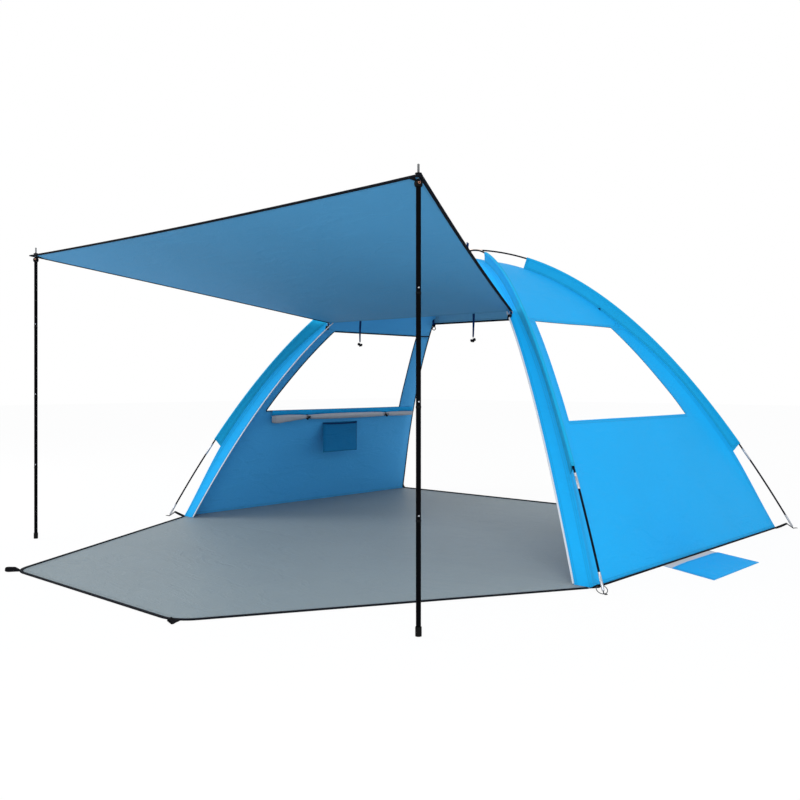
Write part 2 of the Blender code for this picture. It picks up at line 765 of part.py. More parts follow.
def door_mat():
    """The mat, and where and which way its stake loops leave its rounded corners."""
    rear = -HALF_DEPTH - FIT_GAP
    front = rear - MAT_LENGTH
    lean = math.degrees(math.atan2(MAT_REAR_HALF - MAT_FRONT_HALF, MAT_LENGTH))
    turn = 90 - lean
    inset = MAT_CORNER * math.tan(math.radians(turn / 2))
    centre = (MAT_FRONT_HALF - inset, front + MAT_CORNER)
    right = arc(centre, MAT_CORNER, -90, turn - 90, MAT_CORNER_POINTS)
    outline = [(-MAT_REAR_HALF, rear)] + [(-x, y) for x, y in reversed(right)] + right
    outline.append((MAT_REAR_HALF, rear))
    fold = fold_line("door_mat_fold", (0, rear, FABRIC))
    mat = outline_solid("door_mat", [[(x, y - rear) for x, y in outline]], FABRIC, GROUND_SHEET)
    mat.location = (0, 0, -FABRIC / 2)
    mat.parent = fold
    facet = MAT_CORNER * math.cos(math.radians(turn / 2 / (MAT_CORNER_POINTS - 1)))
    heading = math.radians(turn / 2 - 90)
    way = Vector((math.cos(heading), math.sin(heading), 0))
    return fold, Vector((*centre, 0)) + way * (facet + FIT_GAP), way


def stake_loop(name, side, fold, place, way):
    """A flat webbing strap folded into a loop for a stake, sewn to the mat's corner."""
    radius = STAKE_SLOT_RADIUS + LOOP_WALL
    end = STAKE_LOOP_LENGTH - radius
    start = end - STAKE_SLOT_LENGTH
    outer = [(0, 0)] + arc((end, radius), radius, -90, 90)
    outer += [(start, 2 * radius), (start - LOOP_NECK, WEBBING), (0, WEBBING)]
    hole = arc((end, radius), STAKE_SLOT_RADIUS, 90, -90)
    hole += arc((start, radius), STAKE_SLOT_RADIUS, -90, -270)
    loop = outline_solid(f"stake_loop_{name}", [outer, hole], STAKE_LOOP_WIDTH, BLACK_WEBBING)
    place = Vector((side * place.x, place.y, 0))
    stand(loop, place, Vector((side * way.x, way.y, 0)), UP)
    flap = fold_line(f"stake_loop_fold_{name}", place + UP * WEBBING - fold.location)
    flap.parent = fold
    hang(loop, flap)


def sand_pocket(name, side):
    """A flat pouch on the ground beside the wall. Its mouth faces the wall, past a bare lip."""
    root = HALF_WIDTH + FIT_GAP
    height = 2 * FABRIC + SAND_POCKET_HOLLOW

    def skewed(reach, hem, level):
        """The pouch's plan between two distances from the wall."""
        points = []
        for distance, edges in ((reach[0], (0, 1)), (reach[1], (1, 0))):
            shift = SAND_POCKET_SKEW * distance / SAND_POCKET_REACH
            ends = (SAND_POCKET_FRONT + hem - shift, SAND_POCKET_REAR - hem - shift)
            points += [Vector((side * (root + distance), ends[edge], level)) for edge in edges]
        return points

    pouch = prism(f"sand_pocket_{name}", skewed((0, SAND_POCKET_REACH), 0, 0), UP * height, BLUE_CLOTH)
    inside = (SAND_POCKET_LIP - SAND_POCKET_HEM, SAND_POCKET_REACH - SAND_POCKET_HEM)
    hollow = prism(
        f"sand_hollow_{name}", skewed(inside, SAND_POCKET_HEM, FABRIC), UP * SAND_POCKET_HOLLOW, None
    )
    lip = prism(
        f"sand_lip_{name}", skewed((-CUT_OVERRUN, SAND_POCKET_LIP), -CUT_OVERRUN, FABRIC), UP * height, None
    )
    boolean(pouch, as_cutter(hollow), "DIFFERENCE")
    boolean(pouch, as_cutter(lip), "DIFFERENCE")
    flap = fold_line(f"sand_pocket_fold_{name}", Vector((side * root, 0, FABRIC)))
    hang(pouch, flap)


def wall_inside(height):
    """A point on the right wall's inner face at a height, and the wall's outward direction there."""
    step = (WALL_BASE_SHARE - APEX_SHARE) / WALL_ROWS
    share = share_at(height)
    upper = APEX_SHARE + int((share - APEX_SHARE) / step) * step
    run = Vector((HALF_WIDTH * step, 0, vault_height(upper + step) - vault_height(upper)))
    lean = Vector((-run.z, 0, run.x)).normalized()
    start = Vector((HALF_WIDTH * upper, 0, vault_height(upper))) - lean * FABRIC
    return start + run * ((height - start.z) / run.z), lean


def wall_pocket():
    """A pouch that hangs straight down inside the left wall, open at its top."""
    seat, lean = wall_inside(WALL_POCKET_TOP)
    back = FIT_GAP - seat.x
    depth = 2 * POCKET_CLOTH + WALL_POCKET_HOLLOW

    def outline(x, hem, top):
        front = WALL_POCKET_FRONT + hem
        rear = WALL_POCKET_REAR - hem
        low = WALL_POCKET_BOTTOM + hem
        return [Vector((x, y, z)) for y, z in ((front, low), (rear, low), (rear, top), (front, top))]

    pouch = prism("wall_pocket", outline(back, 0, WALL_POCKET_TOP), Vector((depth, 0, 0)), POCKET_BLUE)
    hollow = prism(
        "wall_pocket_hollow",
        outline(back + POCKET_CLOTH, WALL_POCKET_HEM, WALL_POCKET_TOP + CUT_OVERRUN),
        Vector((WALL_POCKET_HOLLOW, 0, 0)),
        None,
    )
    boolean(pouch, as_cutter(hollow), "DIFFERENCE")


ROLL_SHARES = (0, 0.02, 0.07, 0.13, 0.19, 0.22, 0.25, 0.34, 0.5, 0.66, 0.75, 0.78, 0.81, 0.9, 1)
ROLL_WIDTH_SHARES = (0.55, 0.8, 0.9, 0.95, 0.82, 0.64, 0.82, 0.96, 1, 0.96, 0.82, 0.64, 0.8, 0.84, 0.66)
ROLL_DROP_SHARES = (1.8, 2.0, 1.7, 1.3, 0.95, 0.64, 0.82, 0.96, 1, 0.96, 0.82, 0.64, 0.8, 0.84, 0.66)


def window_roll(name, side):
    """The window's cover, rolled and tied under the sill inside the wall, its front end sagging open."""
    seat, lean = wall_inside(ROLL_SEAT_HEIGHT)
    centre = seat - lean * (FIT_GAP + ROLL_RADIUS)
    facing = math.atan2(lean.z, lean.x)
    stations = list(zip(ROLL_SHARES, ROLL_WIDTH_SHARES, ROLL_DROP_SHARES))
    bm = bmesh.new()
    rings = []
    for along, wide, drop in stations:
        ring = []
        for step in range(ROLL_SIDES):
            angle = facing + 2 * math.pi * step / ROLL_SIDES
            fold = ROLL_LAYERS * (angle - facing) + ROLL_TWIST * (along - ROLL_FULL_SHARE)
            crease = 1 - ROLL_CREASE_SHARE * (1 - math.cos(fold)) / 2
            reach = ROLL_RADIUS * crease
            x = centre.x + reach * wide * math.cos(angle)
            upward = min(wide, 1) if math.sin(angle) > 0 else drop
            z = centre.z + reach * upward * math.sin(angle)
            ring.append(bm.verts.new((side * x, between(ROLL_FRONT, ROLL_REAR, along), z)))
        rings.append(ring)
    for first, second in zip(rings, rings[1:]):
        for step in range(ROLL_SIDES):
            following = (step + 1) % ROLL_SIDES
            bm.faces.new((first[step], first[following], second[following], second[step]))
    bm.faces.new(rings[0])
    bm.faces.new(rings[-1])
    bmesh.ops.recalc_face_normals(bm, faces=bm.faces[:])
    roll = add_object(f"window_roll_{name}", mesh_of(bm, f"window_roll_{name}"), COVER_GREY)
    roll.data.shade_smooth()


def roof_tie(name, side):
    """A tape that hangs from the roof's front edge, and the toggle on its end."""
    share = SEAM_SHARE - ROOF_TIE_INSET / HALF_DEPTH
    y = -HALF_DEPTH * share
    step = (SEAM_SHARE - APEX_SHARE) / ROOF_ROWS
    drop = (vault_height(SEAM_SHARE - step) - vault_height(SEAM_SHARE)) / (HALF_DEPTH * step)
    under = row_height(share, APEX_SHARE, SEAM_SHARE, ROOF_ROWS) - FABRIC * math.hypot(1, drop)
    top = under - ROOF_TIE_THICKNESS / 2 * drop - FIT_GAP * math.hypot(1, drop)
    x = side * ROOF_TIE_X
    data = bpy.data.curves.new(f"roof_tie_{name}", "CURVE")
    data.dimensions = "3D"
    data.bevel_depth = ROOF_TIE_THICKNESS / 2
    data.bevel_resolution = 1
    data.extrude = ROOF_TIE_WIDTH / 2 - ROOF_TIE_THICKNESS / 2
    data.use_fill_caps = True
    spline = data.splines.new("POLY")
    count = 7
    spline.points.add(count - 1)
    for index in range(count):
        spline.points[index].co = (x, y, top - ROOF_TIE_LENGTH * index / (count - 1), 1)
        spline.points[index].tilt = math.radians(90)
    add_object(f"roof_tie_{name}", data, BLACK_WEBBING)
    end = top - ROOF_TIE_LENGTH - FIT_GAP - TOGGLE_RADIUS
    half = TOGGLE_LENGTH / 2
    profile = [(0, half), (TOGGLE_RADIUS - TOGGLE_ROUND, half), (TOGGLE_RADIUS, half - TOGGLE_ROUND)]
    profile += [(TOGGLE_RADIUS, TOGGLE_ROUND - half), (TOGGLE_RADIUS - TOGGLE_ROUND, -half), (0, -half)]
    toggle = turned(f"tie_toggle_{name}", profile, TOGGLE_PLASTIC, steps=10)
    aim(toggle, Vector((x, y, end)), Vector((1, 0, 0)))


def build():
    floor_sheet()
    side_wall("right_wall", 1)
    side_wall("left_wall", -1)
    roof("front_roof", -1, FRONT_SEAM_HEIGHT)
    roof("rear_roof", 1, REAR_EDGE_HEIGHT)
    lift = awning()
    for name, side in SIDES:
        front_strip(f"front_strip_{name}", side)
        window_roll(name, side)
        roof_tie(name, side)
        sand_pocket(name, side)
        upright(name, side, lift)
    for name in CORNERS:
        sleeve(name)
        corner_webbing(name)
        ring_pin(name)
    poles()
    apex_tie()
    wall_pocket()
    mat_loops = door_mat()
    for name, side in SIDES:
        stake_loop(name, side, *mat_loops)


build()
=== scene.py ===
import math

import bpy
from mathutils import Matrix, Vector, noise


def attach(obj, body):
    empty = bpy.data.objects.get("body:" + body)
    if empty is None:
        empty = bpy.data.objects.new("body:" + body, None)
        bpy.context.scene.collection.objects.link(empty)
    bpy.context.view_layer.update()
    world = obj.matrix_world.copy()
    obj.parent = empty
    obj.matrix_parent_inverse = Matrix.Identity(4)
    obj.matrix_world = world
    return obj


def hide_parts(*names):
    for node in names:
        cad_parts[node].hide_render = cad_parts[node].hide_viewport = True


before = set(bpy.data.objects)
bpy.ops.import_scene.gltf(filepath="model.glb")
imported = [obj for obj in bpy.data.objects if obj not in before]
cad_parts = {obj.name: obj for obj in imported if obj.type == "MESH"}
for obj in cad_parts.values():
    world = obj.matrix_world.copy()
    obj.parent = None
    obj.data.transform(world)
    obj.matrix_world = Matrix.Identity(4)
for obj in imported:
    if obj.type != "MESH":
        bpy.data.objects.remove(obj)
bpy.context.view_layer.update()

# The tent's own sizes in metres, shares of its half spans and slopes, as the frame has them. One pole runs
# over the other at their crossing, so their heights differ by twice ROD_STEP
HALF_WIDTH = 1.50
HALF_DEPTH = 1.055
HEIGHT = 1.63
APEX_SHARE = 0.0076
FRONT_SEAM = 1.245
REAR_EDGE = 1.285
WINDOW_TOP = 1.196
WINDOW_SILL = 0.685
WINDOW_FRONT_FRAME = 0.137
WINDOW_REAR_FRAME = (0.151, 0.191)
CORNERS = {"front_left": (-1, -1), "rear_right": (1, 1), "front_right": (1, -1), "rear_left": (-1, 1)}
RODS = {"upper_rod_over": ("front_left", "rear_right"), "upper_rod_under": ("front_right", "rear_left")}
REACH = math.hypot(HALF_WIDTH, HALF_DEPTH)
POLE_REACH = REACH + 0.100
POLE_HEIGHT = 1.685
ROD_STEP = 0.00625
POLE_HEIGHTS = {
    name: POLE_HEIGHT + (ROD_STEP if name in RODS["upper_rod_over"] else -ROD_STEP) for name in CORNERS
}
SLEEVE_TOP = 0.188
SLEEVE_END = math.sqrt(1 - 0.50 / POLE_HEIGHT)
FERRULE_GAP = 0.035
FERRULE = 0.080
TIP_STAND = 0.0018
RING_RADIUS = 0.0235
RING_SLOPE = math.radians(36)
AWNING_REAR = -0.5147
AWNING_FRONT = -2.100
AWNING_SLOPE = 0.20849
AWNING_HALVES = (0.70, 1.4465)
POLE_X = 1.4165
POLE_Y = -2.078
POLE_FOOT = 0.0043
POLE_JOINT = 1.5664
MAT_REAR = -1.0553
MAT_FRONT = -2.5353
MAT_HALVES = (1.484, 0.640)
MAT_LEAN = math.radians(29.693)
MAT_ROUND = 0.140
MAT_ROUND_X = MAT_HALVES[1] - MAT_ROUND * math.tan((math.pi / 2 - MAT_LEAN) / 2)
MAT_ROUND_END = MAT_FRONT + MAT_ROUND * (1 - math.sin(MAT_LEAN))
LOOP_ROOT = (0.628757, -2.515946)
LOOP_WAY = (0.502305, -0.864691)
UP = Vector((0, 0, 1))
SIDES = (("right", 1), ("left", -1))

# The cloth's thickness, how far in and how strongly a pole draws at its seam, and flat sizes of sewn pieces
CLOTH = 0.0012
SEAM_REACH = 0.12
SEAM_PULL = 0.033
STRIP_WIDTHS = (0.062, 0.095)
COVER_WIDTH = 1.385
POCKET_FLAT = (0.333, 0.426)
POUCH_FLAT = (0.52, 0.565)


# Camera, floor and light

def stand(name, data, place):
    thing = bpy.data.objects.new(name, data)
    thing.location = place
    bpy.context.scene.collection.objects.link(thing)
    return thing


def photographer():
    lens = bpy.data.cameras.new("camera")
    lens.lens = 40.18
    lens.sensor_width = 36
    lens.shift_y = -0.0225
    camera = stand("camera", lens, (3.435, -4.380, 0.871))
    camera.rotation_euler = (math.radians(90), 0, math.radians(42.43))
    bpy.context.scene.camera = camera


def softbox(name, place, aim, size, watts):
    lamp = bpy.data.lights.new(name, "AREA")
    lamp.shape = "RECTANGLE"
    lamp.size, lamp.size_y = size
    lamp.energy = watts
    box = stand(name, lamp, place)
    box.rotation_mode = "QUATERNION"
    box.rotation_quaternion = (Vector(aim) - Vector(place)).to_track_quat("-Z", "Y")


def seen_plain(tree):
    """1 for what the camera sees, straight or by way of metal or glass, and 0 for what lights the tent."""
    path = tree.nodes.new("ShaderNodeLightPath")
    seen = path.outputs["Is Camera Ray"]
    for ray in ("Is Glossy Ray", "Is Transmission Ray"):
        larger = tree.nodes.new("ShaderNodeMath")
        larger.operation = "MAXIMUM"
        tree.links.new(seen, larger.inputs[0])
        tree.links.new(path.outputs[ray], larger.inputs[1])
        seen = larger.outputs[0]
    return seen


def studio():
    world = bpy.data.worlds.new("studio")
    bpy.context.scene.world = world
    world.use_nodes = True
    tree = world.node_tree
    tree.nodes.clear()
    choice = tree.nodes.new("ShaderNodeMixShader")
    tree.links.new(seen_plain(tree), choice.inputs[0])
    for socket, colour, strength in ((1, (0.93, 0.96, 1.0, 1), 0.80), (2, (1, 1, 1, 1), 1.0)):
        sky = tree.nodes.new("ShaderNodeBackground")
        sky.inputs["Color"].default_value = colour
        sky.inputs["Strength"].default_value = strength
        tree.links.new(sky.outputs[0], choice.inputs[socket])
    output = tree.nodes.new("ShaderNodeOutputWorld")
    tree.links.new(choice.outputs[0], output.inputs["Surface"])
    softbox("key_light", (5.2, -6.0, 4.6), (0, -0.3, 0.6), (4.5, 3.5), 290)
    softbox("side_light", (-5.5, -4.5, 4.0), (0, 0, 0.6), (4.0, 3.0), 210)
    bpy.context.scene.view_settings.view_transform = "Standard"


# Finishes

class Number:
    """A number that a finish works out at each place."""

    def __init__(self, finish, socket):
        self.finish = finish
        self.socket = socket

    def __add__(self, other):
        return self.finish.sum("ADD", self, other)

    __radd__ = __add__

    def __sub__(self, other):
        return self.finish.sum("SUBTRACT", self, other)

    def __rsub__(self, other):
        return self.finish.sum("SUBTRACT", other, self)

    def __mul__(self, other):
        return self.finish.sum("MULTIPLY", self, other)

    __rmul__ = __mul__

    def size(self):
        return self.finish.sum("ABSOLUTE", self, 0)

    def under(self, limit):
        return self.finish.sum("LESS_THAN", self, limit)

    def over(self, limit):
        return self.finish.sum("GREATER_THAN", self, limit)

    def past(self, limit):
        """How far it is over a limit, and 0 below it."""
        rest = self - limit
        return rest.over(0.0) * rest

    def near(self, middle, reach):
        """1 where it is within a reach of a middle value, and 0 elsewhere."""
        return (self - middle).size().under(reach)

    def waves(self, length):
        """A sine of that length along it."""
        return self.finish.sum("SINE", self * (math.tau / length), 0)


class Finish:
    """One material. Its nodes are added one by one to its shader."""

    def __init__(self, name, roughness, metallic=0.0, **flat):
        self.material = bpy.data.materials.new(name)
        self.material.use_nodes = True
        self.tree = self.material.node_tree
        self.shader = self.tree.nodes["Principled BSDF"]
        self.shader.inputs["Roughness"].default_value = roughness
        self.shader.inputs["Metallic"].default_value = metallic
        for socket, value in flat.items():
            self.shader.inputs[socket.replace("_", " ")].default_value = value

    def node(self, kind, settings=None, values=None, out=0):
        made = self.tree.nodes.new("ShaderNode" + kind)
        for key, value in (settings or {}).items():
            if key == "stops":
                ramp = made.color_ramp.elements
                while len(ramp) < len(value):
                    ramp.new(0.5)
                for element, (place, colour) in zip(ramp, value):
                    element.position = place
                    element.color = (*colour, 1)
            else:
                setattr(made, key, value)
        for key, value in (values or {}).items():
            self.join(made.inputs[key], value)
        return Number(self, made.outputs[out])

    def join(self, socket, value):
        if isinstance(value, Number):
            self.tree.links.new(value.socket, socket)
        else:
            socket.default_value = value

    def sum(self, operation, first, second):
        return self.node("Math", {"operation": operation}, {0: first, 1: second})

    def mix(self, factor, first, second):
        first, second = (value if isinstance(value, Number) else (*value, 1) for value in (first, second))
        return self.node("Mix", {"data_type": "RGBA"}, {0: factor, 6: first, 7: second}, 2)

    def place(self):
        return self.node("TexCoord", out=3)

    def cut(self, layer="cloth"):
        """Where a point lies on the flat cut cloth, in metres."""
        return self.node("UVMap", {"uv_map": layer})

    def parts(self, vector):
        split = self.tree.nodes.new("ShaderNodeSeparateXYZ")
        self.tree.links.new(vector.socket, split.inputs[0])
        return [Number(self, socket) for socket in split.outputs]

    def cloud(self, vector, scale, detail=3.0, rough=0.6, bend=0.0):
        values = {"Vector": vector, "Scale": scale, "Detail": detail, "Roughness": rough, "Distortion": bend}
        return self.node("TexNoise", {}, values)

    def stretched(self, vector, scale):
        return self.node("Mapping", {}, {"Vector": vector, "Scale": scale})

    def wear(self, colour, roughness=None, height=None, lift=0.0, strength=0.0):
        """Gives the shader its colour, and where they are named its roughness and a fine relief."""
        self.join(self.shader.inputs["Base Color"], colour)
        if roughness is not None:
            self.join(self.shader.inputs["Roughness"], roughness)
        if height is not None:
            relief = self.node("Bump", {}, {"Height": height, "Distance": lift, "Strength": strength})
            self.join(self.shader.inputs["Normal"], relief)
        return self.material


def shade(colour, amount):
    return tuple(min(1.0, channel * amount) for channel in colour)


def woven(name, colour, roughness=0.62, thread=0.0011, crease=1.0, seam=0.008, sheen=0.02):
    """Coated tent cloth: a fine plain weave, soft packing creases, faint tone drift, and a double row of
    stitches along its seams. seam is how far in the first row lies."""
    finish = Finish(name, roughness, Sheen_Weight=sheen, Sheen_Roughness=0.4, Specular_IOR_Level=0.12)
    flat = finish.cut()
    across, along, _ = finish.parts(flat)
    weave = across.waves(thread) * along.waves(thread)
    broad = finish.cloud(flat, 1.7, 2.0, 0.55)
    mottle = finish.cloud(flat, 38.0, 4.0)
    folds = finish.cloud(finish.stretched(flat, (1.0, 2.2, 1.0)), 3.2, 5.0, 0.62, 0.6)
    ridge = 1 - (folds - 0.5).size() * 9.0
    crest = ridge.past(0.0) * ridge
    drift = [(0.25, shade(colour, 0.95)), (0.5, colour), (0.75, shade(colour, 1.05))]
    tone = finish.node("ValToRGB", {"stops": drift}, {0: broad * 0.7 + mottle * 0.3})
    tone = finish.mix(crest * 0.05 * crease, tone, shade(colour, 1.25))
    height = folds * (1.6 * crease) + crest * (0.35 * crease) + weave * 0.05 + mottle * 0.08
    rough = mottle * 0.12 + broad * 0.06 + (roughness - 0.09)
    edge, run, _ = finish.parts(finish.cut("hem"))
    stitch_half, stitch_length = 0.0011, 0.0075
    rows = edge.near(seam, stitch_half) + edge.near(seam * 2.1, stitch_half)
    stitch = rows * run.waves(stitch_length).over(-0.45)
    turned_in = edge.under(seam * 2.5)
    tone = finish.mix(turned_in * 0.10, tone, shade(colour, 0.55))
    tone = finish.mix(stitch * 0.55, tone, shade(colour, 0.42))
    return finish.wear(tone, rough, height + turned_in * 0.25 - stitch * 0.5, 0.004, 0.55)


def ribbed(name, colour, light=1.7, stitch=True):
    """Woven tape or webbing: ribs across it, a bound edge, and a tone lighter on the rib crests and the fuzz.
    """
    roughness, rib = 0.8, 0.0022
    finish = Finish(name, roughness, Sheen_Weight=0.01, Sheen_Roughness=0.5, Specular_IOR_Level=0.04)
    flat = finish.cut()
    across, along, _ = finish.parts(flat)
    ribs = along.waves(rib) * 0.5 + 0.5
    cross = across.waves(rib * 0.8) * 0.5 + 0.5
    fuzz = finish.cloud(flat, 220.0)
    tone = finish.mix(ribs * 0.25 + fuzz * 0.45, shade(colour, 0.8), shade(colour, light))
    height = ribs * 0.5 + cross * 0.25 + fuzz * 0.4
    if stitch:
        edge, run, _ = finish.parts(finish.cut("hem"))
        line = edge.near(0.0018, 0.0005) * run.waves(0.005).over(-0.3)
        tone = finish.mix(line * 0.6, tone, shade(colour, light * 1.8))
        height = height + line * 0.6
    return finish.wear(tone, fuzz * 0.15 + (roughness - 0.08), height, 0.0008, 0.7)


def coated_tube(name, colour, roughness):
    """Powder-coated steel tube: fine orange peel and long faint rubs down its length."""
    finish = Finish(name, roughness, Specular_IOR_Level=0.012)
    spot = finish.place()
    peel = finish.cloud(spot, 900.0, 2.0, 0.5)
    rubs = finish.cloud(finish.stretched(spot, (90.0, 90.0, 3.0)), 2.0, 5.0, 0.7)
    dusty = finish.mix(finish.cloud(spot, 7.0), shade(colour, 0.8), shade(colour, 1.5))
    tone = finish.mix(rubs.past(0.60) * 4.0, dusty, shade(colour, 5.0))
    return finish.wear(tone, rubs * 0.22 + (roughness - 0.11), peel * 0.4 + rubs * 0.3, 0.0003, 0.12)


def bright_steel(name, colour, roughness):
    """Drawn and plated steel: lines along it, small scratches and dull spots."""
    finish = Finish(name, roughness, 1.0)
    spot = finish.place()
    drawn = finish.cloud(finish.stretched(spot, (260.0, 260.0, 14.0)), 2.0, 4.0)
    dull = finish.cloud(spot, 60.0, 4.0)
    tone = finish.mix(dull, shade(colour, 0.82), shade(colour, 1.12))
    rough = drawn * 0.2 + dull * 0.15 + (roughness - 0.16)
    return finish.wear(tone, rough, drawn + dull * 0.4, 0.0003, 0.3)


def glass_fibre(name, dark, light):
    """Pulled glass-fibre rod in black resin, with fine streaks along it."""
    finish = Finish(name, 0.50, Specular_IOR_Level=0.015)
    spot = finish.place()
    streak = finish.cloud(finish.stretched(spot, (140.0, 140.0, 12.0)), 2.0, 4.0, 0.65)
    speck = finish.cloud(spot, 320.0, 2.0, 0.5)
    tone = finish.mix(streak * 0.6 + speck * 0.2, dark, light)
    return finish.wear(tone, streak * 0.25 + 0.32, streak + speck * 0.3, 0.0003, 0.12)


def moulded(name, colour, roughness):
    """Moulded plastic or rubber: a fine grain, mould flow and scuffs."""
    finish = Finish(name, roughness, Specular_IOR_Level=0.10)
    spot = finish.place()
    fine = finish.cloud(spot, 260.0)
    scuff = finish.cloud(spot, 34.0, 5.0, 0.7)
    grained = finish.mix(fine, shade(colour, 0.75), shade(colour, 1.35))
    tone = finish.mix(scuff.past(0.56) * 3.0, grained, shade(colour, 4.5))
    rough = fine * 0.15 + scuff * 0.15 + (roughness - 0.15)
    return finish.wear(tone, rough, fine + scuff * 0.6, 0.0008, 0.45)


def braided_cord(name, colour):
    """Thin braided cord: a slanting braid from its own length and turn."""
    finish = Finish(name, 0.72, Sheen_Weight=0.2, Sheen_Roughness=0.5)
    around, along, _ = finish.parts(finish.cut())
    strands = 4
    pitch = math.tau / 2800.0
    round_it = around * (strands * pitch)
    braid = (along + round_it).waves(pitch) * (along - round_it).waves(pitch) * 0.5 + 0.5
    tone = finish.mix(braid, shade(colour, 0.6), shade(colour, 1.7))
    return finish.wear(tone, None, braid, 0.0005, 0.6)


def paved():
    """The pale floor: white to the eye, and it still takes the tent's shadow."""
    finish = Finish("studio_floor", 0.9)
    tree = finish.tree
    speck = finish.cloud(finish.place(), 6.0, 4.0)
    finish.wear(finish.mix(speck, (0.84, 0.84, 0.85), (0.88, 0.88, 0.88)))
    glow = tree.nodes.new("ShaderNodeEmission")
    glow.inputs["Color"].default_value = (1, 1, 1, 1)
    choice = tree.nodes.new("ShaderNodeMixShader")
    finish.join(choice.inputs[0], Number(finish, seen_plain(tree)) * 0.94)
    tree.links.new(finish.shader.outputs[0], choice.inputs[1])
    tree.links.new(glow.outputs[0], choice.inputs[2])
    tree.links.new(choice.outputs[0], tree.nodes["Material Output"].inputs["Surface"])
    return finish.material


# Bench tools

def clear_hands():
    if bpy.context.object and bpy.context.object.mode != "OBJECT":
        bpy.ops.object.mode_set(mode="OBJECT")
    for thing in list(bpy.context.selected_objects):
        thing.select_set(False)


def take(piece):
    clear_hands()
    piece.select_set(True)
    bpy.context.view_layer.objects.active = piece


def settle(piece):
    """Puts the piece's place, turn and size in its mesh."""
    take(piece)
    bpy.ops.object.transform_apply(location=True, rotation=True, scale=True)


def set_down(piece, place, turn):
    piece.location = place
    piece.rotation_mode = "QUATERNION"
    piece.rotation_quaternion = turn
    settle(piece)


def add_modifier(piece, kind, **settings):
    take(piece)
    made = piece.modifiers.new(kind.lower(), kind)
    for key, value in settings.items():
        setattr(made, key, value)
    bpy.ops.object.modifier_apply(modifier=made.name)


def smooth(piece, degrees):
    take(piece)
    bpy.ops.object.shade_smooth_by_angle(angle=math.radians(degrees))


def round_edges(piece, width, segments=2, degrees=50):
    angle = math.radians(degrees)
    add_modifier(piece, "BEVEL", width=width, segments=segments, limit_method="ANGLE", angle_limit=angle)
    smooth(piece, 60)


def select_faces(piece, chosen):
    """Goes into edit mode with only those faces selected that chosen(face) picks."""
    take(piece)
    bpy.ops.object.mode_set(mode="EDIT")
    bpy.ops.mesh.select_mode(type="FACE")
    bpy.ops.mesh.select_all(action="DESELECT")
    bpy.ops.object.mode_set(mode="OBJECT")
    for face in piece.data.polygons:
        face.select = chosen(face)
    bpy.ops.object.mode_set(mode="EDIT")


def fit(piece, body, slot, *nodes):
    """Says which body carries a piece and which nodes of the frame it replaces. slot, the slot of its finish,
    is not used.
    """
    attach(piece, body)
    if nodes:
        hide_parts(*nodes)
    return piece


def write_layer(piece, layer, values):
    """Gives each point of a piece its place on a named flat layer, in metres."""
    flat = piece.data.uv_layers.get(layer) or piece.data.uv_layers.new(name=layer)
    for loop in piece.data.loops:
        flat.data[loop.index].uv = values[loop.vertex_index]


def drop_layers(piece):
    for layer in list(piece.data.uv_layers):
        piece.data.uv_layers.remove(layer)


def lay_cloth(
    name, columns, rows, place, cut, hem, faces, thickness=CLOTH, offset=-1.0, keep=None, outward=None,
):
    """A sheet of cloth. place(across, along) gives each point, both from 0 to 1. cut and hem give its place
    on the flat cloth, and its distance from the nearest seam with the run along that seam. faces are the
    finishes of its outer and inner face. keep(across, along) tells which cells stay, and outward is where it
    faces."""
    clear_hands()
    bpy.ops.mesh.primitive_grid_add(x_subdivisions=columns, y_subdivisions=rows, size=2)
    piece = bpy.context.object
    mesh = piece.data
    piece.name = mesh.name = name
    shares = [((v.co.x + 1) / 2, (v.co.y + 1) / 2) for v in mesh.vertices]
    for vertex, share in zip(mesh.vertices, shares):
        vertex.co = place(*share)
    drop_layers(piece)
    write_layer(piece, "cloth", [cut(*share) for share in shares])
    write_layer(piece, "hem", [hem(*share) for share in shares])
    for finish in faces:
        mesh.materials.append(finish)
    mesh.update()
    if keep:
        def dropped(face):
            middle = [sum(shares[i][k] for i in face.vertices) / len(face.vertices) for k in (0, 1)]
            return not keep(*middle)

        select_faces(piece, dropped)
        bpy.ops.mesh.delete(type="FACE")
        bpy.ops.object.mode_set(mode="OBJECT")
    if outward is not None:
        facing = Vector()
        for face in mesh.polygons:
            facing += face.normal * face.area
        if facing.dot(outward) < 0:
            mesh.flip_normals()
    solid = {"thickness": thickness, "offset": offset, "use_even_offset": True}
    add_modifier(piece, "SOLIDIFY", material_offset=1, material_offset_rim=0, **solid)
    smooth(piece, 50)
    return piece


def lengths_along(path):
    """The length gone at each point of a path."""
    lengths = [0.0]
    for first, second in zip(path, path[1:]):
        lengths.append(lengths[-1] + (Vector(second) - Vector(first)).length)
    return lengths


def ribbon(name, path, across, width, thickness, finish, columns):
    """A tape along a path of points. across gives the way of its width, at each point or for all of them, and
    width may be a list too."""
    last = len(path) - 1
    ways = across if isinstance(across, list) else [across] * len(path)
    widths = width if isinstance(width, list) else [width] * len(path)
    lengths = lengths_along(path)

    def place(a, b):
        index = round(b * last)
        return path[index] + ways[index] * (widths[index] * (a - 0.5))

    def cut(a, b):
        return widths[round(b * last)] * a, lengths[round(b * last)]

    def hem(a, b):
        return widths[round(b * last)] * min(a, 1 - a), lengths[round(b * last)]

    return lay_cloth(name, columns, last, place, cut, hem, (finish, finish), thickness, 0.0)


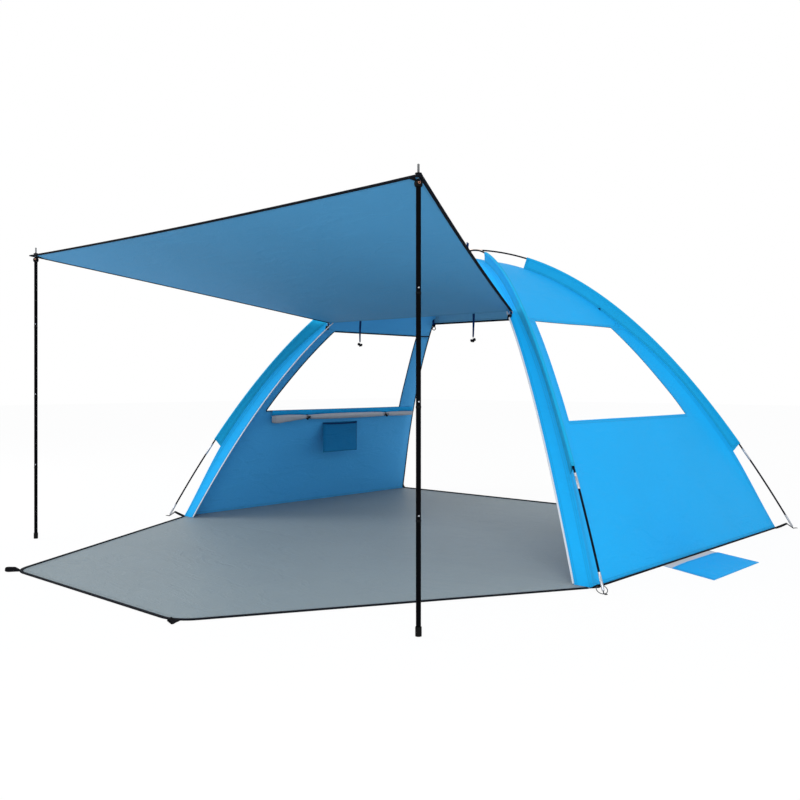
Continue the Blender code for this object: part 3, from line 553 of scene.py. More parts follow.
def round_cord(name, path, radius, finish, sides=8):
    """A round cord as a curve's own tube, made a mesh, with its length and turn on its layer."""
    data = bpy.data.curves.new(name, "CURVE")
    data.dimensions = "3D"
    data.bevel_depth = radius
    data.bevel_resolution = (sides - 4) // 2
    data.use_fill_caps = True
    spline = data.splines.new("POLY")
    spline.points.add(len(path) - 1)
    for point, place in zip(spline.points, path):
        point.co = (*place, 1)
    take(stand(name, data, (0, 0, 0)))
    bpy.ops.object.convert(target="MESH")
    piece = bpy.context.object
    lengths = lengths_along(path)
    turns = []
    for vertex in piece.data.vertices:
        index = min(range(len(path)), key=lambda i: (path[i] - vertex.co).length_squared)
        out = vertex.co - path[index]
        turns.append((math.atan2(out.y, out.x) / math.tau, lengths[index]))
    drop_layers(piece)
    write_layer(piece, "cloth", turns)
    piece.data.materials.clear()
    piece.data.materials.append(finish)
    smooth(piece, 60)
    return piece


def rounded_profile(points, count):
    """Evenly spaced points on a smooth curve through a few places of a section."""
    places = [Vector(p) for p in points]
    ends = [places[0] * 2 - places[1]] + places + [places[-1] * 2 - places[-2]]
    fine, steps = [], 24
    for index in range(1, len(ends) - 2):
        a, b, c, d = ends[index - 1:index + 3]
        bend, twist = 2 * a - 5 * b + 4 * c - d, 3 * b - a - 3 * c + d
        for t in (step / steps for step in range(steps)):
            fine.append(0.5 * (2 * b + (c - a) * t + bend * t * t + twist * t ** 3))
    fine.append(places[-1])
    lengths = lengths_along(fine)
    out, index = [], 0
    for step in range(count):
        goal = lengths[-1] * step / (count - 1)
        while index < len(fine) - 2 and lengths[index + 1] < goal:
            index += 1
        span = lengths[index + 1] - lengths[index]
        out.append(fine[index].lerp(fine[index + 1], (goal - lengths[index]) / span if span else 0))
    return out


def between(first, second, share):
    return first + (second - first) * share


def clamped(value):
    return min(1.0, max(0.0, value))


def soft_step(value):
    """From 0 to 1 with a slow start and end."""
    t = clamped(value)
    return t * t * (3 - 2 * t)


def steps_to(last):
    """Even steps from 0 to 1, both ends with them."""
    return [step / last for step in range(last + 1)]


def through(stops, counts, at):
    """Where a grid line lies between stops that have their own number of cells between them."""
    for first, second, count in zip(stops, stops[1:], counts):
        if at <= count:
            return between(first, second, at / count)
        at -= count
    return stops[-1]


def soft_noise(x, y, z=0.0):
    return noise.noise(Vector((x, y, z)))


def share_at(height):
    """The share of a panel's half span at which its bent shape has that height."""
    return math.sqrt(max(0.0, 1 - height / HEIGHT))


def height_at(share):
    return HEIGHT * (1 - share ** 2)


def bent_length(half_span, share):
    """The length along a bent panel from the top down to a share."""
    steep = 2 * HEIGHT
    run = math.hypot(half_span, steep * share)
    return 0.5 * (share * run + half_span ** 2 / steep * math.asinh(steep * share / half_span))


def bent_area(half_span, half_reach, top, base):
    """The flat area of a bent panel between two shares, its width 2 * half_reach * share."""
    levels = [between(top, base, t) for t in steps_to(60)]
    total = 0.0
    for first, second in zip(levels, levels[1:]):
        tall = bent_length(half_span, second) - bent_length(half_span, first)
        total += half_reach * (first + second) * tall
    return total


def out_of(name):
    x, y = CORNERS[name]
    return Vector((x * HALF_WIDTH, y * HALF_DEPTH, 0)).normalized()


def on_pole(name, share):
    return out_of(name) * POLE_REACH * share + UP * POLE_HEIGHTS[name] * (1 - share ** 2)


def on_seam(name, share):
    return out_of(name) * REACH * share + UP * height_at(share)


def pole_pull(front, side, share):
    """How far a pole's sleeve draws the seam out of the plain shape, from the seam towards the pole. It grows
    below the roof and goes again below the sleeve's end."""
    name = ("front" if front else "rear") + ("_right" if side > 0 else "_left")
    amount = SEAM_PULL * soft_step((share - 0.44) / 0.26) * (1 - soft_step((share - 0.82) / 0.18))
    return (on_pole(name, share) - on_seam(name, share)).normalized() * amount


# The tent's cloth

BASE_SHARE = share_at(0.0032)
TOP_SHARE = share_at(WINDOW_TOP)
SILL_SHARE = share_at(WINDOW_SILL)
SEAM_SHARE = share_at(FRONT_SEAM)
REAR_SHARE = share_at(REAR_EDGE)


def window_edges(share):
    """The window's front and rear edge as shares of the wall's half depth at a level."""
    level = min(max(share, TOP_SHARE), SILL_SHARE)
    seam = HALF_DEPTH * level
    down = (WINDOW_TOP - height_at(level)) / (WINDOW_TOP - WINDOW_SILL)
    return (WINDOW_FRONT_FRAME - seam) / seam, (seam - between(*WINDOW_REAR_FRAME, down)) / seam


def wall_place(side, share, ratio, lift=0.0):
    """A point on a side wall, with the slight slack of pitched cloth. Lift is how far out of it."""
    point = Vector((side * HALF_WIDTH * share, HALF_DEPTH * share * ratio, height_at(share)))
    out = Vector((side * 2 * HEIGHT * share, 0, HALF_WIDTH)).normalized()
    gap = (1 - abs(ratio)) * HALF_DEPTH * share
    free = clamped(min(gap, (1 - share) * 2.0) / 0.16)
    slack = 0.0035 * soft_noise(point.y * 2.1 + side, point.z * 2.4, 3.0)
    slack += 0.0012 * soft_noise(point.y * 8, point.z * 7, 5.0)
    slack = max(slack, 0.35 * slack) - 0.0015
    pull = pole_pull(ratio < 0, side, share) * max(0.0, 1 - gap / SEAM_REACH) ** 2
    return point + out * (slack * free + lift) + pull


def side_wall(name, side, faces):
    tall, wide = (14, 20, 24), (7, 22, 7)
    rows, columns = sum(tall), sum(wide)
    top_line, sill_line, base_line = (bent_length(HALF_WIDTH, s) for s in (TOP_SHARE, SILL_SHARE, BASE_SHARE))

    def share(along):
        return through((APEX_SHARE, TOP_SHARE, SILL_SHARE, BASE_SHARE), tall, along * rows)

    def ratio(across, along):
        return through((-1, *window_edges(share(along)), 1), wide, across * columns)

    def place(across, along):
        return wall_place(side, share(along), ratio(across, along))

    def cut(across, along):
        return HALF_DEPTH * share(along) * ratio(across, along), bent_length(HALF_WIDTH, share(along))

    def hem(across, along):
        level, y = share(along), ratio(across, along)
        down = bent_length(HALF_WIDTH, level)
        front, rear = window_edges(level)
        near = [(1 - abs(y)) * HALF_DEPTH * level * 0.82, base_line - down, abs(down - top_line) + 0.002]
        if TOP_SHARE - 0.001 <= level <= SILL_SHARE + 0.001:
            near += [abs(y - front) * HALF_DEPTH * level, abs(y - rear) * HALF_DEPTH * level]
        if front - 0.01 <= y <= rear + 0.01:
            near.append(abs(down - sill_line))
        return min(near), down + y * HALF_DEPTH * level

    def keep(across, along):
        column, row = across * columns - wide[0], along * rows - tall[0]
        return not (0 < column < wide[1] and 0 < row < tall[1])

    wall = name + "_wall"
    outward = Vector((side, 0, 1))
    piece = lay_cloth(wall + "_cloth", columns, rows, place, cut, hem, faces, keep=keep, outward=outward)
    opening, strips = 0.0, 50
    for strip in range(strips):
        level = between(TOP_SHARE, SILL_SHARE, (strip + 0.5) / strips)
        front, rear = window_edges(level)
        opening += (rear - front) * HALF_DEPTH * level * (sill_line - top_line) / strips
    area = bent_area(HALF_WIDTH, HALF_DEPTH, APEX_SHARE, BASE_SHARE)
    fit(piece, "tent", "blue_cloth", wall)
    bent_length(HALF_WIDTH, BASE_SHARE)
    area - opening


def roof(name, facing, edge, faces):
    def share(along):
        return between(APEX_SHARE, edge, along)

    def place(across, along):
        level, ratio = share(along), 2 * across - 1
        point = Vector((HALF_WIDTH * level * ratio, facing * HALF_DEPTH * level, height_at(level)))
        out = Vector((0, facing * 2 * HEIGHT * level, HALF_DEPTH)).normalized()
        gap = (1 - abs(ratio)) * HALF_WIDTH * level
        free = min(1.0, gap / 0.14) * min(1.0, (1 - along) * 6)
        slack = 0.003 * soft_noise(point.x * 2.3, point.y * 3.1, 7.0 + facing) - 0.0012
        pull = pole_pull(facing < 0, ratio, level) * max(0.0, 1 - gap / SEAM_REACH) ** 2
        return point + out * (slack * free) + pull

    def cut(across, along):
        return HALF_WIDTH * share(along) * (2 * across - 1), bent_length(HALF_DEPTH, share(along))

    def hem(across, along):
        level, ratio = share(along), 2 * across - 1
        down = bent_length(HALF_DEPTH, level)
        seam = (1 - abs(ratio)) * HALF_WIDTH * level * 0.58
        return min(seam, bent_length(HALF_DEPTH, edge) - down), down + HALF_WIDTH * level * ratio

    piece = lay_cloth(name + "_cloth", 40, 26, place, cut, hem, faces, outward=Vector((0, facing, 1)))
    fit(piece, "tent", "blue_cloth", name)
    area = bent_area(HALF_DEPTH, HALF_WIDTH, APEX_SHARE, edge)
    bent_length(HALF_DEPTH, edge)


def strip_width(along):
    return between(*STRIP_WIDTHS, along)


def front_strip(name, side, faces):
    def level_of(along):
        return between(SEAM_SHARE, BASE_SHARE, along)

    def place(across, along):
        level = level_of(along)
        x = HALF_WIDTH * level - strip_width(along) * (1 - across)
        slack = 0.0012 * soft_noise(level * 9, across * 2, side) * math.sin(math.pi * across)
        point = Vector((side * x, -HALF_DEPTH * level - slack, height_at(level)))
        return point + pole_pull(True, side, level) * across ** 2

    def cut(across, along):
        return strip_width(along) * across, bent_length(HALF_DEPTH, level_of(along))

    def hem(across, along):
        return strip_width(along) * min(across, 1 - across), bent_length(HALF_DEPTH, level_of(along))

    strip = "front_strip_" + name
    piece = lay_cloth(strip + "_cloth", 6, 48, place, cut, hem, faces, outward=Vector((0, -1, 1)))
    fit(piece, "tent", "blue_cloth", strip)
    length = bent_length(HALF_DEPTH, BASE_SHARE) - bent_length(HALF_DEPTH, SEAM_SHARE)
    sum(STRIP_WIDTHS) / 2 * length


def sleeve(name, finish):
    """A folded strip of cloth from the seam round the pole and back, its free ends hemmed."""
    front, side = name.startswith("front"), CORNERS[name][0]
    sideways = out_of(name).cross(UP)
    bend = 0.0085
    fold = [math.radians(128 * (1 - t)) for t in steps_to(8)]

    def profile(rise):
        """One face from the seam up, round the pole, and down the other. rise is the pole's height."""
        edge = [(-0.001, 0.0010), (0.010, 0.0016), (0.020, 0.0024)]
        around = [(rise + bend * math.cos(a), bend * math.sin(a)) for a in fold]
        (low_x, low_y), (high_x, high_y) = edge[-1], around[0]
        web = [(between(low_x, high_x, t), between(low_y, high_y, t ** 1.6)) for t in (0.25, 0.5, 0.75)]
        half = edge + web + around
        return half + [(x, -y) for x, y in reversed(half[:-1])]

    def root(share):
        return on_seam(name, share) + pole_pull(front, side, share)

    def height(share):
        return (on_pole(name, share) - root(share)).length

    count = len(profile(0.05)) - 1
    spans = lengths_along(profile(height(0.60)))
    widest = max(lengths_along(profile(height(share)))[-1] for share in (SLEEVE_TOP, 0.4, SLEEVE_END))

    def place(across, along):
        index = round(across * count)
        share = between(SLEEVE_TOP, SLEEVE_END, along)
        low = 1 - clamped(profile(height(share))[index][0] / height(share))
        share = between(SLEEVE_TOP, SLEEVE_END + 0.0117 * low, along)
        seam = root(share)
        lift = on_pole(name, share) - seam
        x, y = profile(lift.length)[index]
        pucker = 0.0016 * math.sin(math.pi * clamped(x / lift.length))
        pucker *= soft_noise(share * 26, x * 14, 2.0 if y > 0 else 9.0) if abs(y) > 0.0011 else 0
        return seam + lift.normalized() * x + sideways * (y + pucker)

    def long(along):
        share = between(SLEEVE_TOP, SLEEVE_END, along)
        return bent_length(POLE_REACH, share) - bent_length(POLE_REACH, SLEEVE_TOP)

    def cut(across, along):
        return spans[round(across * count)], long(along)

    def hem(across, along):
        span = spans[round(across * count)]
        ends = min(long(along), long(1) - long(along))
        return min(ends, min(span, spans[-1] - span) + 0.004), span + long(along)

    piece = lay_cloth("sleeve_cloth_" + name, count, 72, place, cut, hem, (finish, finish), 0.0009, 0.0)
    fit(piece, "tent", "sleeve_cloth", "pole_sleeve_" + name)
    area = sum(face.area for face in piece.data.polygons) / 2
    flat = (round(widest, 3), round(long(1), 3))


def on_ground(x, y, *gaps):
    """A point of the ground sheets, which lie a little wavy on sand but flat at their edges. Each gap is the
    distance from an edge by the width that stays flat beside it."""
    low = max(0.0, 0.5 + 0.5 * soft_noise(x * 1.6, y * 1.9, 11.0)) ** 2
    fine = max(0.0, soft_noise(x * 5.5, y * 6.1, 4.0))
    return Vector((x, y, 0.0020 + max(0.0, min(1.0, *gaps)) * (0.0032 * low + 0.0016 * fine)))


def floor_sheet(finish):
    corner_inset = 0.0052

    def plan(across, along):
        x, y = HALF_WIDTH * (2 * across - 1), HALF_DEPTH * (2 * along - 1)
        if abs(x) == HALF_WIDTH and abs(y) == HALF_DEPTH:
            x, y = x * (1 - corner_inset / HALF_WIDTH), y * (1 - corner_inset / HALF_DEPTH)
        return x, y

    def place(across, along):
        x, y = plan(across, along)
        return on_ground(x, y, (HALF_WIDTH - abs(x)) / 0.10, (y + HALF_DEPTH) / 0.04, (HALF_DEPTH - y) / 0.10)

    def hem(across, along):
        x, y = plan(across, along)
        return min(HALF_WIDTH - abs(x), HALF_DEPTH - y), x + y

    piece = lay_cloth("floor_cloth", 96, 66, place, plan, hem, (finish, finish), outward=UP)
    fit(piece, "tent", "ground_sheet", "floor_sheet")


def mat_half(y):
    if y >= MAT_ROUND_END:
        return between(*MAT_HALVES, (MAT_REAR - y) / (MAT_REAR - MAT_FRONT))
    up = MAT_ROUND - (y - MAT_FRONT)
    return MAT_ROUND_X + math.sqrt(max(0.0, MAT_ROUND ** 2 - up ** 2))


def mat_level(along):
    """How far forward a row of the mat lies: even steps at first, and along the round corners after that."""
    straight = 0.82
    if along <= straight:
        return between(MAT_REAR, MAT_ROUND_END, along / straight)
    angle = between(math.pi / 2 - MAT_LEAN, 0, (along - straight) / (1 - straight))
    return MAT_FRONT + MAT_ROUND * (1 - math.cos(angle))


def door_mat(finish):
    def plan(across, along):
        y = mat_level(along)
        return mat_half(y) * (2 * across - 1), y

    def place(across, along):
        x, y = plan(across, along)
        return on_ground(x, y, (mat_half(y) - abs(x)) / 0.06, (MAT_REAR - y) / 0.04, (y - MAT_FRONT) / 0.05)

    def hem(across, along):
        x, y = plan(across, along)
        return min((mat_half(y) - abs(x)) * 0.87, y - MAT_FRONT), x - y

    piece = lay_cloth("mat_cloth", 84, 50, place, plan, hem, (finish, finish), outward=UP)
    fit(piece, "door_mat", "ground_sheet", "door_mat")


def awning_half(along):
    """Half the awning's width, its side edges drawn in a little between the corners."""
    return between(*AWNING_HALVES, along) - 0.012 * math.sin(math.pi * along)


def awning_place(across, along, lift=0.0):
    """A point on the awning's upper face: pulled tight between its corners, a little low in the middle."""
    half, ratio = awning_half(along), 2 * across - 1
    inward = 1 - ratio ** 2
    y = between(AWNING_REAR, AWNING_FRONT, along) + 0.012 * along ** 6 * inward
    sag = (0.013 * math.sin(math.pi * along ** 0.8) + 0.007 * along ** 3) * inward
    fan = math.sin(34 * math.atan2(1 - abs(ratio) + 0.02, 1 - along + 0.02))
    pull = 0.0014 * fan * max(0.0, along - 0.45) * inward
    wave = 0.0022 * math.sin(math.pi * along) * (1 - ratio ** 4)
    wave *= soft_noise(ratio * half * 1.9, y * 2.0, 21.0)
    return Vector((half * ratio, y, FRONT_SEAM + AWNING_SLOPE * (AWNING_REAR - y) - sag + pull + wave + lift))


def awning(faces):
    def plan(across, along):
        point = awning_place(across, along)
        return point.x, -point.y * math.hypot(1, AWNING_SLOPE)

    def hem(across, along):
        point = awning_place(across, along)
        beside = (between(*AWNING_HALVES, along) - abs(point.x)) * 0.9
        return max(0.0, min(beside, (1 - along) * 1.62, along * 1.62)), point.x + point.y

    piece = lay_cloth("awning_cloth", 72, 54, awning_place, plan, hem, faces, outward=UP)
    fit(piece, "awning", "awning_cloth", "awning_sheet")


# Edges, tapes and piping

def along_edge(last, place):
    return [Vector(place(t)) for t in steps_to(last)]


def headings(path):
    """The way a path runs at each of its points, from the points on both sides."""
    last = len(path) - 1
    return [(path[min(i + 1, last)] - path[max(i - 1, 0)]).normalized() for i in range(last + 1)]


def outwards(path, side):
    """Square to a path at each of its points, towards one side of the tent."""
    return [(Vector((side, 0, 0)) - run * run.x * side).normalized() for run in headings(path)]


def bound_edge(name, path, across, body, finish, width, thickness):
    tape = ribbon(name, path, across, width, thickness, finish, 4)
    round_edges(tape, thickness * 0.32)
    fit(tape, body, "black_webbing")


def ground_edges(tape):
    ends = [Vector((x * HALF_WIDTH, y * HALF_DEPTH, 0)) for x, y in ((-1, -1), (-1, 1), (1, 1), (1, -1))]
    for name, first, second in zip(("left", "rear", "right"), ends, ends[1:]):
        run = (second - first).normalized()
        start, stop = first + run * 0.012, second - run * 0.012
        beside = UP.cross(run) * 0.0026 + UP * 0.0052
        path = along_edge(39, lambda t: start.lerp(stop, t) + beside)
        bound_edge("floor_binding_" + name, path, UP, "tent", tape, 0.0095, 0.0028)
    levels = [MAT_REAR - 0.011] + [mat_level(t) for t in steps_to(50)[1:]]
    right = [Vector((mat_half(y), y, 0)) for y in levels]
    front = [Vector((between(MAT_ROUND_X, -MAT_ROUND_X, t), MAT_FRONT, 0)) for t in steps_to(14)[1:-1]]
    path = right + front + [Vector((-p.x, p.y, 0)) for p in reversed(right)]
    across = [run.cross(UP) for run in headings(path)]
    path = [p - way * 0.0035 + UP * 0.0033 for p, way in zip(path, across)]
    bound_edge("mat_binding", path, across, "door_mat", tape, 0.0150, 0.0060)


def awning_edges(tape):
    """Tape over the side edges and the front edge. Its middle lies a little inside the cloth's edge."""
    inset, drop, width, thickness = 0.004, -0.0006, 0.0145, 0.0062
    for name, side in SIDES:
        path = along_edge(43, lambda t: awning_place((1 + side) / 2, t * 0.994 + 0.004, drop))
        across = outwards(path, side)
        path = [p - way * inset for p, way in zip(path, across)]
        bound_edge("awning_binding_" + name, path, across, "awning", tape, width, thickness)
    forward = Vector((0, -1, AWNING_SLOPE)).normalized()
    path = along_edge(59, lambda t: awning_place(t, 1, drop) - forward * inset)
    bound_edge("awning_binding_front", path, forward, "awning", tape, width, thickness)


def rear_roof_edge(tape):
    half = HALF_WIDTH * REAR_SHARE * 0.995
    down = Vector((0, HALF_DEPTH, -2 * HEIGHT * REAR_SHARE)).normalized()
    y, z = HALF_DEPTH * REAR_SHARE - 0.0006, REAR_EDGE - 0.0006
    path = along_edge(43, lambda t: (between(-half, half, t), y, z))
    bound_edge("rear_roof_binding", path, down, "tent", tape, 0.013, 0.0036)


def rear_wall_edge(tape, name, side):
    """The tape inside a wall's rear edge, below the rear roof."""
    path, ways = [], []
    for t in steps_to(59):
        level = between(REAR_SHARE, BASE_SHARE - 0.002, t)
        middle, outer, inner = (1 - inset / (HALF_DEPTH * level) for inset in (0.0065, 0.0010, 0.0120))
        path.append(wall_place(side, level, middle, -0.0026))
        ways.append((wall_place(side, level, outer) - wall_place(side, level, inner)).normalized())
    bound_edge("rear_edge_tape_" + name, path, ways, "tent", tape, 0.011, 0.0016)


def window_tapes(tape, name, side):
    """The tapes round a window, inside the wall. The top one runs on to the wall's rear edge."""
    levels = [between(TOP_SHARE, SILL_SHARE, t) for t in steps_to(30)]
    top_front, _ = window_edges(TOP_SHARE)
    for part, run, way in (
        ("front", [(level, window_edges(level)[0]) for level in levels], Vector((0, -1, 0))),
        ("rear", [(level, window_edges(level)[1]) for level in reversed(levels)], Vector((0, 1, 0))),
        ("top", [(TOP_SHARE, between(top_front, 0.985, t)) for t in steps_to(24)], None),
        ("sill", [(SILL_SHARE, between(*window_edges(SILL_SHARE), t)) for t in steps_to(24)], None),
    ):
        down = Vector((side * HALF_WIDTH, 0, -2 * HEIGHT * run[0][0])).normalized()
        way = way or down * (-1 if part == "top" else 1)
        path = [wall_place(side, share, ratio, -0.0022) + way * 0.0032 for share, ratio in run]
        width = 0.0105 if part == "top" else 0.0085
        bound_edge(f"window_{part}_tape_{name}", path, way, "tent", tape, width, 0.0014)


def door_piping(piping, name, side):
    """The pale round edge of the narrow strip beside the door."""
    path = []
    for t in steps_to(63):
        level = between(SEAM_SHARE, BASE_SHARE - 0.001, t)
        x = HALF_WIDTH * level - strip_width(t) - 0.001
        path.append(Vector((side * x, -HALF_DEPTH * level - 0.0012, height_at(level))))
    edge = ribbon("door_piping_" + name, path, outwards(path, side), 0.0092, 0.0040, piping, 4)
    round_edges(edge, 0.0012)
    fit(edge, "tent", None)


# Metal, rods and small fittings

def turned(name, profile, finish, steps, place, axis=(0, 0, 1)):
    """A turned piece from a list of (radius, height), extruded ring by ring from its foot."""
    clear_hands()
    radius, level = profile[0]
    bpy.ops.mesh.primitive_circle_add(vertices=steps, radius=radius, fill_type="NGON", location=(0, 0, level))
    piece = bpy.context.object
    piece.name = piece.data.name = name
    bpy.ops.object.mode_set(mode="EDIT")
    for next_radius, next_level in profile[1:]:
        bpy.ops.mesh.extrude_region_move(TRANSFORM_OT_translate={"value": (0, 0, next_level - level)})
        grow = next_radius / radius
        bpy.ops.transform.resize(value=(grow, grow, 1), center_override=(0, 0, next_level))
        radius, level = next_radius, next_level
    bpy.ops.mesh.select_all(action="SELECT")
    bpy.ops.mesh.normals_make_consistent(inside=False)
    bpy.ops.object.mode_set(mode="OBJECT")
    settle(piece)
    set_down(piece, place, Vector(axis).to_track_quat("Z", "Y"))
    piece.data.materials.append(finish)
    smooth(piece, 45)
    return piece


def both_halves(profile):
    """A turned profile and its mirror image above the middle."""
    return profile + [(radius, -level) for radius, level in reversed(profile)]


def wire_ring(name, centre, across, up, radius, wire, finish, count=28):
    """Round wire bent to a ring, its ends lapped by a few degrees."""
    across, up = Vector(across).normalized(), Vector(up).normalized()
    path = []
    for t in steps_to(count):
        angle = (math.tau + 0.12) * t
        reach = radius + wire * 0.25 * t
        path.append(Vector(centre) + across * (reach * math.cos(angle)) + up * (reach * math.sin(angle)))
    return round_cord(name, path, wire, finish, 10)


def dress_frame(start, finish):
    """A finish for the pieces whose names start so, which keep the frame's own shape."""
    for node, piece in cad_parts.items():
        if node.startswith(start):
            for slot in piece.material_slots:
                slot.material = finish


def pole_share_below(name, share, length):
    """The share at which a pole has gone a straight length down from another share."""
    low, high = share, 1.0
    start = on_pole(name, share)
    for _ in range(40):
        middle = (low + high) / 2
        if (on_pole(name, middle) - start).length < length:
            low = middle
        else:
            high = middle
    return low


def ferrule_ends(name):
    """The shares at the upper and lower end of the ferrule under a pole's sleeve."""
    top = pole_share_below(name, SLEEVE_END, FERRULE_GAP)
    return top, pole_share_below(name, top, FERRULE)


def tip_stand(name):
    """Where a pole's tip stands on its pin, and the way up the pole from there."""
    share = math.sqrt(1 - TIP_STAND / POLE_HEIGHTS[name])
    base = on_pole(name, share)
    return base, (on_pole(name, share - 0.001) - base).normalized()


def upper_rods(finish):
    """The rods in the sleeves and over the crossing, bent in one clean arc and seated in their ferrules."""
    for node, ends in RODS.items():
        halves = []
        for name in ends:
            top, low = ferrule_ends(name)
            seat = on_pole(name, top).lerp(on_pole(name, low), 0.497)
            halves.append([seat] + [on_pole(name, top * (1 - k / 64)) for k in range(64)])
        rod = round_cord(node.replace("upper", "bent"), halves[0] + halves[1][::-1], 0.00475, finish, 14)
        fit(rod, "tent", "fibreglass", node)


def lower_rods(finish):
    """The rods between the ferrules and the tips, seated in both."""
    for name in CORNERS:
        top, low = ferrule_ends(name)
        base, rise = tip_stand(name)
        end = (base + rise * 0.096).dot(out_of(name)) / POLE_REACH
        path = [on_pole(name, between(low, end, t)) for t in steps_to(28)]
        path = [on_pole(name, top).lerp(on_pole(name, low), 0.503)] + path + [base + rise * 0.057]
        rod = round_cord("corner_rod_" + name, path, 0.0050, finish, 16)
        fit(rod, "tent", "fibreglass", "lower_rod_" + name)


def pole_ends(steel, ring_steel):
    """At each corner: the crimped ferrule, the steel tip, and the wire ring with its pin inside the tip."""
    tube = [(0.0046, 0.0), (0.0057, 0.0004), (0.0060, 0.0014)]
    for crimp in (0.0600, 0.0680):
        tube += [(0.0060, crimp), (0.0056, crimp + 0.0007)]
        tube += [(0.0056, crimp + 0.0021), (0.0060, crimp + 0.0028)]
    tube += [(0.0060, 0.0786), (0.0057, 0.0796), (0.0050, FERRULE)]
    for name in CORNERS:
        out = out_of(name)
        base, rise = tip_stand(name)
        tip = turned("steel_tip_" + name, tube, steel, 28, base + rise * 0.012, rise)
        fit(tip, "tent", "steel", "pole_tip_" + name)
        along = out * math.cos(RING_SLOPE) - UP * math.sin(RING_SLOPE)
        ring = wire_ring(
            "corner_ring_" + name, base - along * RING_RADIUS, along, UP.cross(out), RING_RADIUS, 0.0017,
            ring_steel, 44,
        )
        fit(ring, "tent", "steel", "ring_pin_" + name)
        path = [base + rise * (0.044 * t) for t in steps_to(8)]
        fit(round_cord("corner_pin_" + name, path, 0.0023, ring_steel, 14), "tent", "steel")
        head, foot = (on_pole(name, share) for share in ferrule_ends(name))
        ferrule = turned("steel_ferrule_" + name, tube, steel, 28, foot, head - foot)
        fit(ferrule, "tent", "steel", "pole_ferrule_" + name)


def pole_fittings(steel, point_steel, rubber, copper):
    """What sits on the awning's poles: the head under the cloth with its eye, the collar and the ridged spike
    above it, and a push button and a seam at each joint."""
    facing = Vector((0.78, -0.62, 0))
    collar = [
        (0.0036, 1.5773), (0.0042, 1.5785), (0.0076, 1.5799), (0.0088, 1.5822),
        (0.0124, 1.5858), (0.0118, 1.5874), (0.0085, 1.5862), (0.0050, 1.5870),
    ]
    head = [
        (0.0096, 1.5395), (0.0126, 1.5412), (0.0144, 1.5460), (0.0148, 1.5520),
        (0.0144, 1.5560), (0.0133, 1.5587), (0.0110, 1.5606), (0.0078, 1.5621),
    ]
    ridges = [(0.0045 if k % 2 else 0.0037, 1.5878 + 0.0015 * k) for k in range(20)]
    spike = [(0.0032, 1.5470), (0.0032, 1.5860)] + ridges + [(0.0036, 1.6178), (0.0020, 1.6192)]
    button = [(0.0030, 0.0080), (0.0030, 0.0096), (0.0022, 0.0106), (0.0008, 0.0110)]
    seam = both_halves([(0.00925, -0.0035), (0.00965, -0.0028)])
    for name, side in SIDES:
        foot = Vector((side * POLE_X, POLE_Y, 0))
        swing = "awning_pole_" + name
        fit(turned("pole_collar_" + name, collar, rubber, 24, foot), swing, "black_rubber")
        fit(turned("pole_head_" + name, head, rubber, 24, foot), swing, "black_rubber")
        eye = foot + UP * 1.5525 + facing * 0.0157
        fit(wire_ring("head_eye_" + name, eye, facing.cross(UP), UP, 0.0034, 0.0009, copper, 16), swing, None)
        point = turned("pole_spike_" + name, spike, point_steel, 20, foot)
        fit(point, swing, "steel", f"awning_pole_{name}_spike")
        for index in (1, 2, 3):
            joint = foot + UP * between(POLE_JOINT, POLE_FOOT, index / 4)
            push = turned(f"pole_button_{name}_{index}", button, steel, 14, joint + UP * 0.018, facing)
            fit(push, swing, "steel")
            fit(turned(f"joint_band_{name}_{index}", seam, rubber, 24, joint), swing, "black_tube")


def corner_straps(webbing):
    """Webbing from the floor's corner, folded round the ring and sewn back on itself, and the ring's tag."""
    start, end_start = 1.8260, 1.8380
    wire_out, wire_up = 1.8948, 0.0294
    under, over, around, bend = 0.0012, 0.0046, 0.0028, 0.0029
    rise = math.atan2(wire_up, wire_out - 1.832)
    across_wire, along_wire = around * math.sin(rise), around * math.cos(rise)
    low, high = [], []
    for t in steps_to(5):
        bow = 0.0016 * math.sin(math.pi * t)
        level = between(under, wire_up - along_wire, t ** 1.15) - bow
        low.append((between(start, wire_out + across_wire, t), level))
        level = between(over, wire_up + along_wire, t ** 1.1) + bow * 0.5
        high.append((between(end_start, wire_out - across_wire, t), level))
    turns = [rise + 0.45 * k for k in range(1, 7)]
    fold = [(wire_out + bend * math.sin(a), wire_up - bend * math.cos(a)) for a in turns]
    section = rounded_profile(low + fold + high[::-1], 40)
    widths = [between(0.050, 0.0210, min(1.0, (r - start) / 0.062)) for r, _ in section]
    for name in CORNERS:
        out = out_of(name)
        sideways = out.cross(UP)
        path = [out * r + UP * max(z, 0.0009) for r, z in section]
        strap = ribbon("corner_strap_" + name, path, sideways, widths, 0.0015, webbing, 8)
        fit(strap, "tent", "black_webbing", "corner_webbing_" + name)
        path = [out * (1.9365 + 0.0190 * t) + UP * (0.0030 + 0.0016 * math.sin(t * 2.6)) for t in steps_to(9)]
        fit(ribbon("ring_tag_" + name, path, sideways, 0.012, 0.0024, webbing, 4), "tent", "black_webbing")


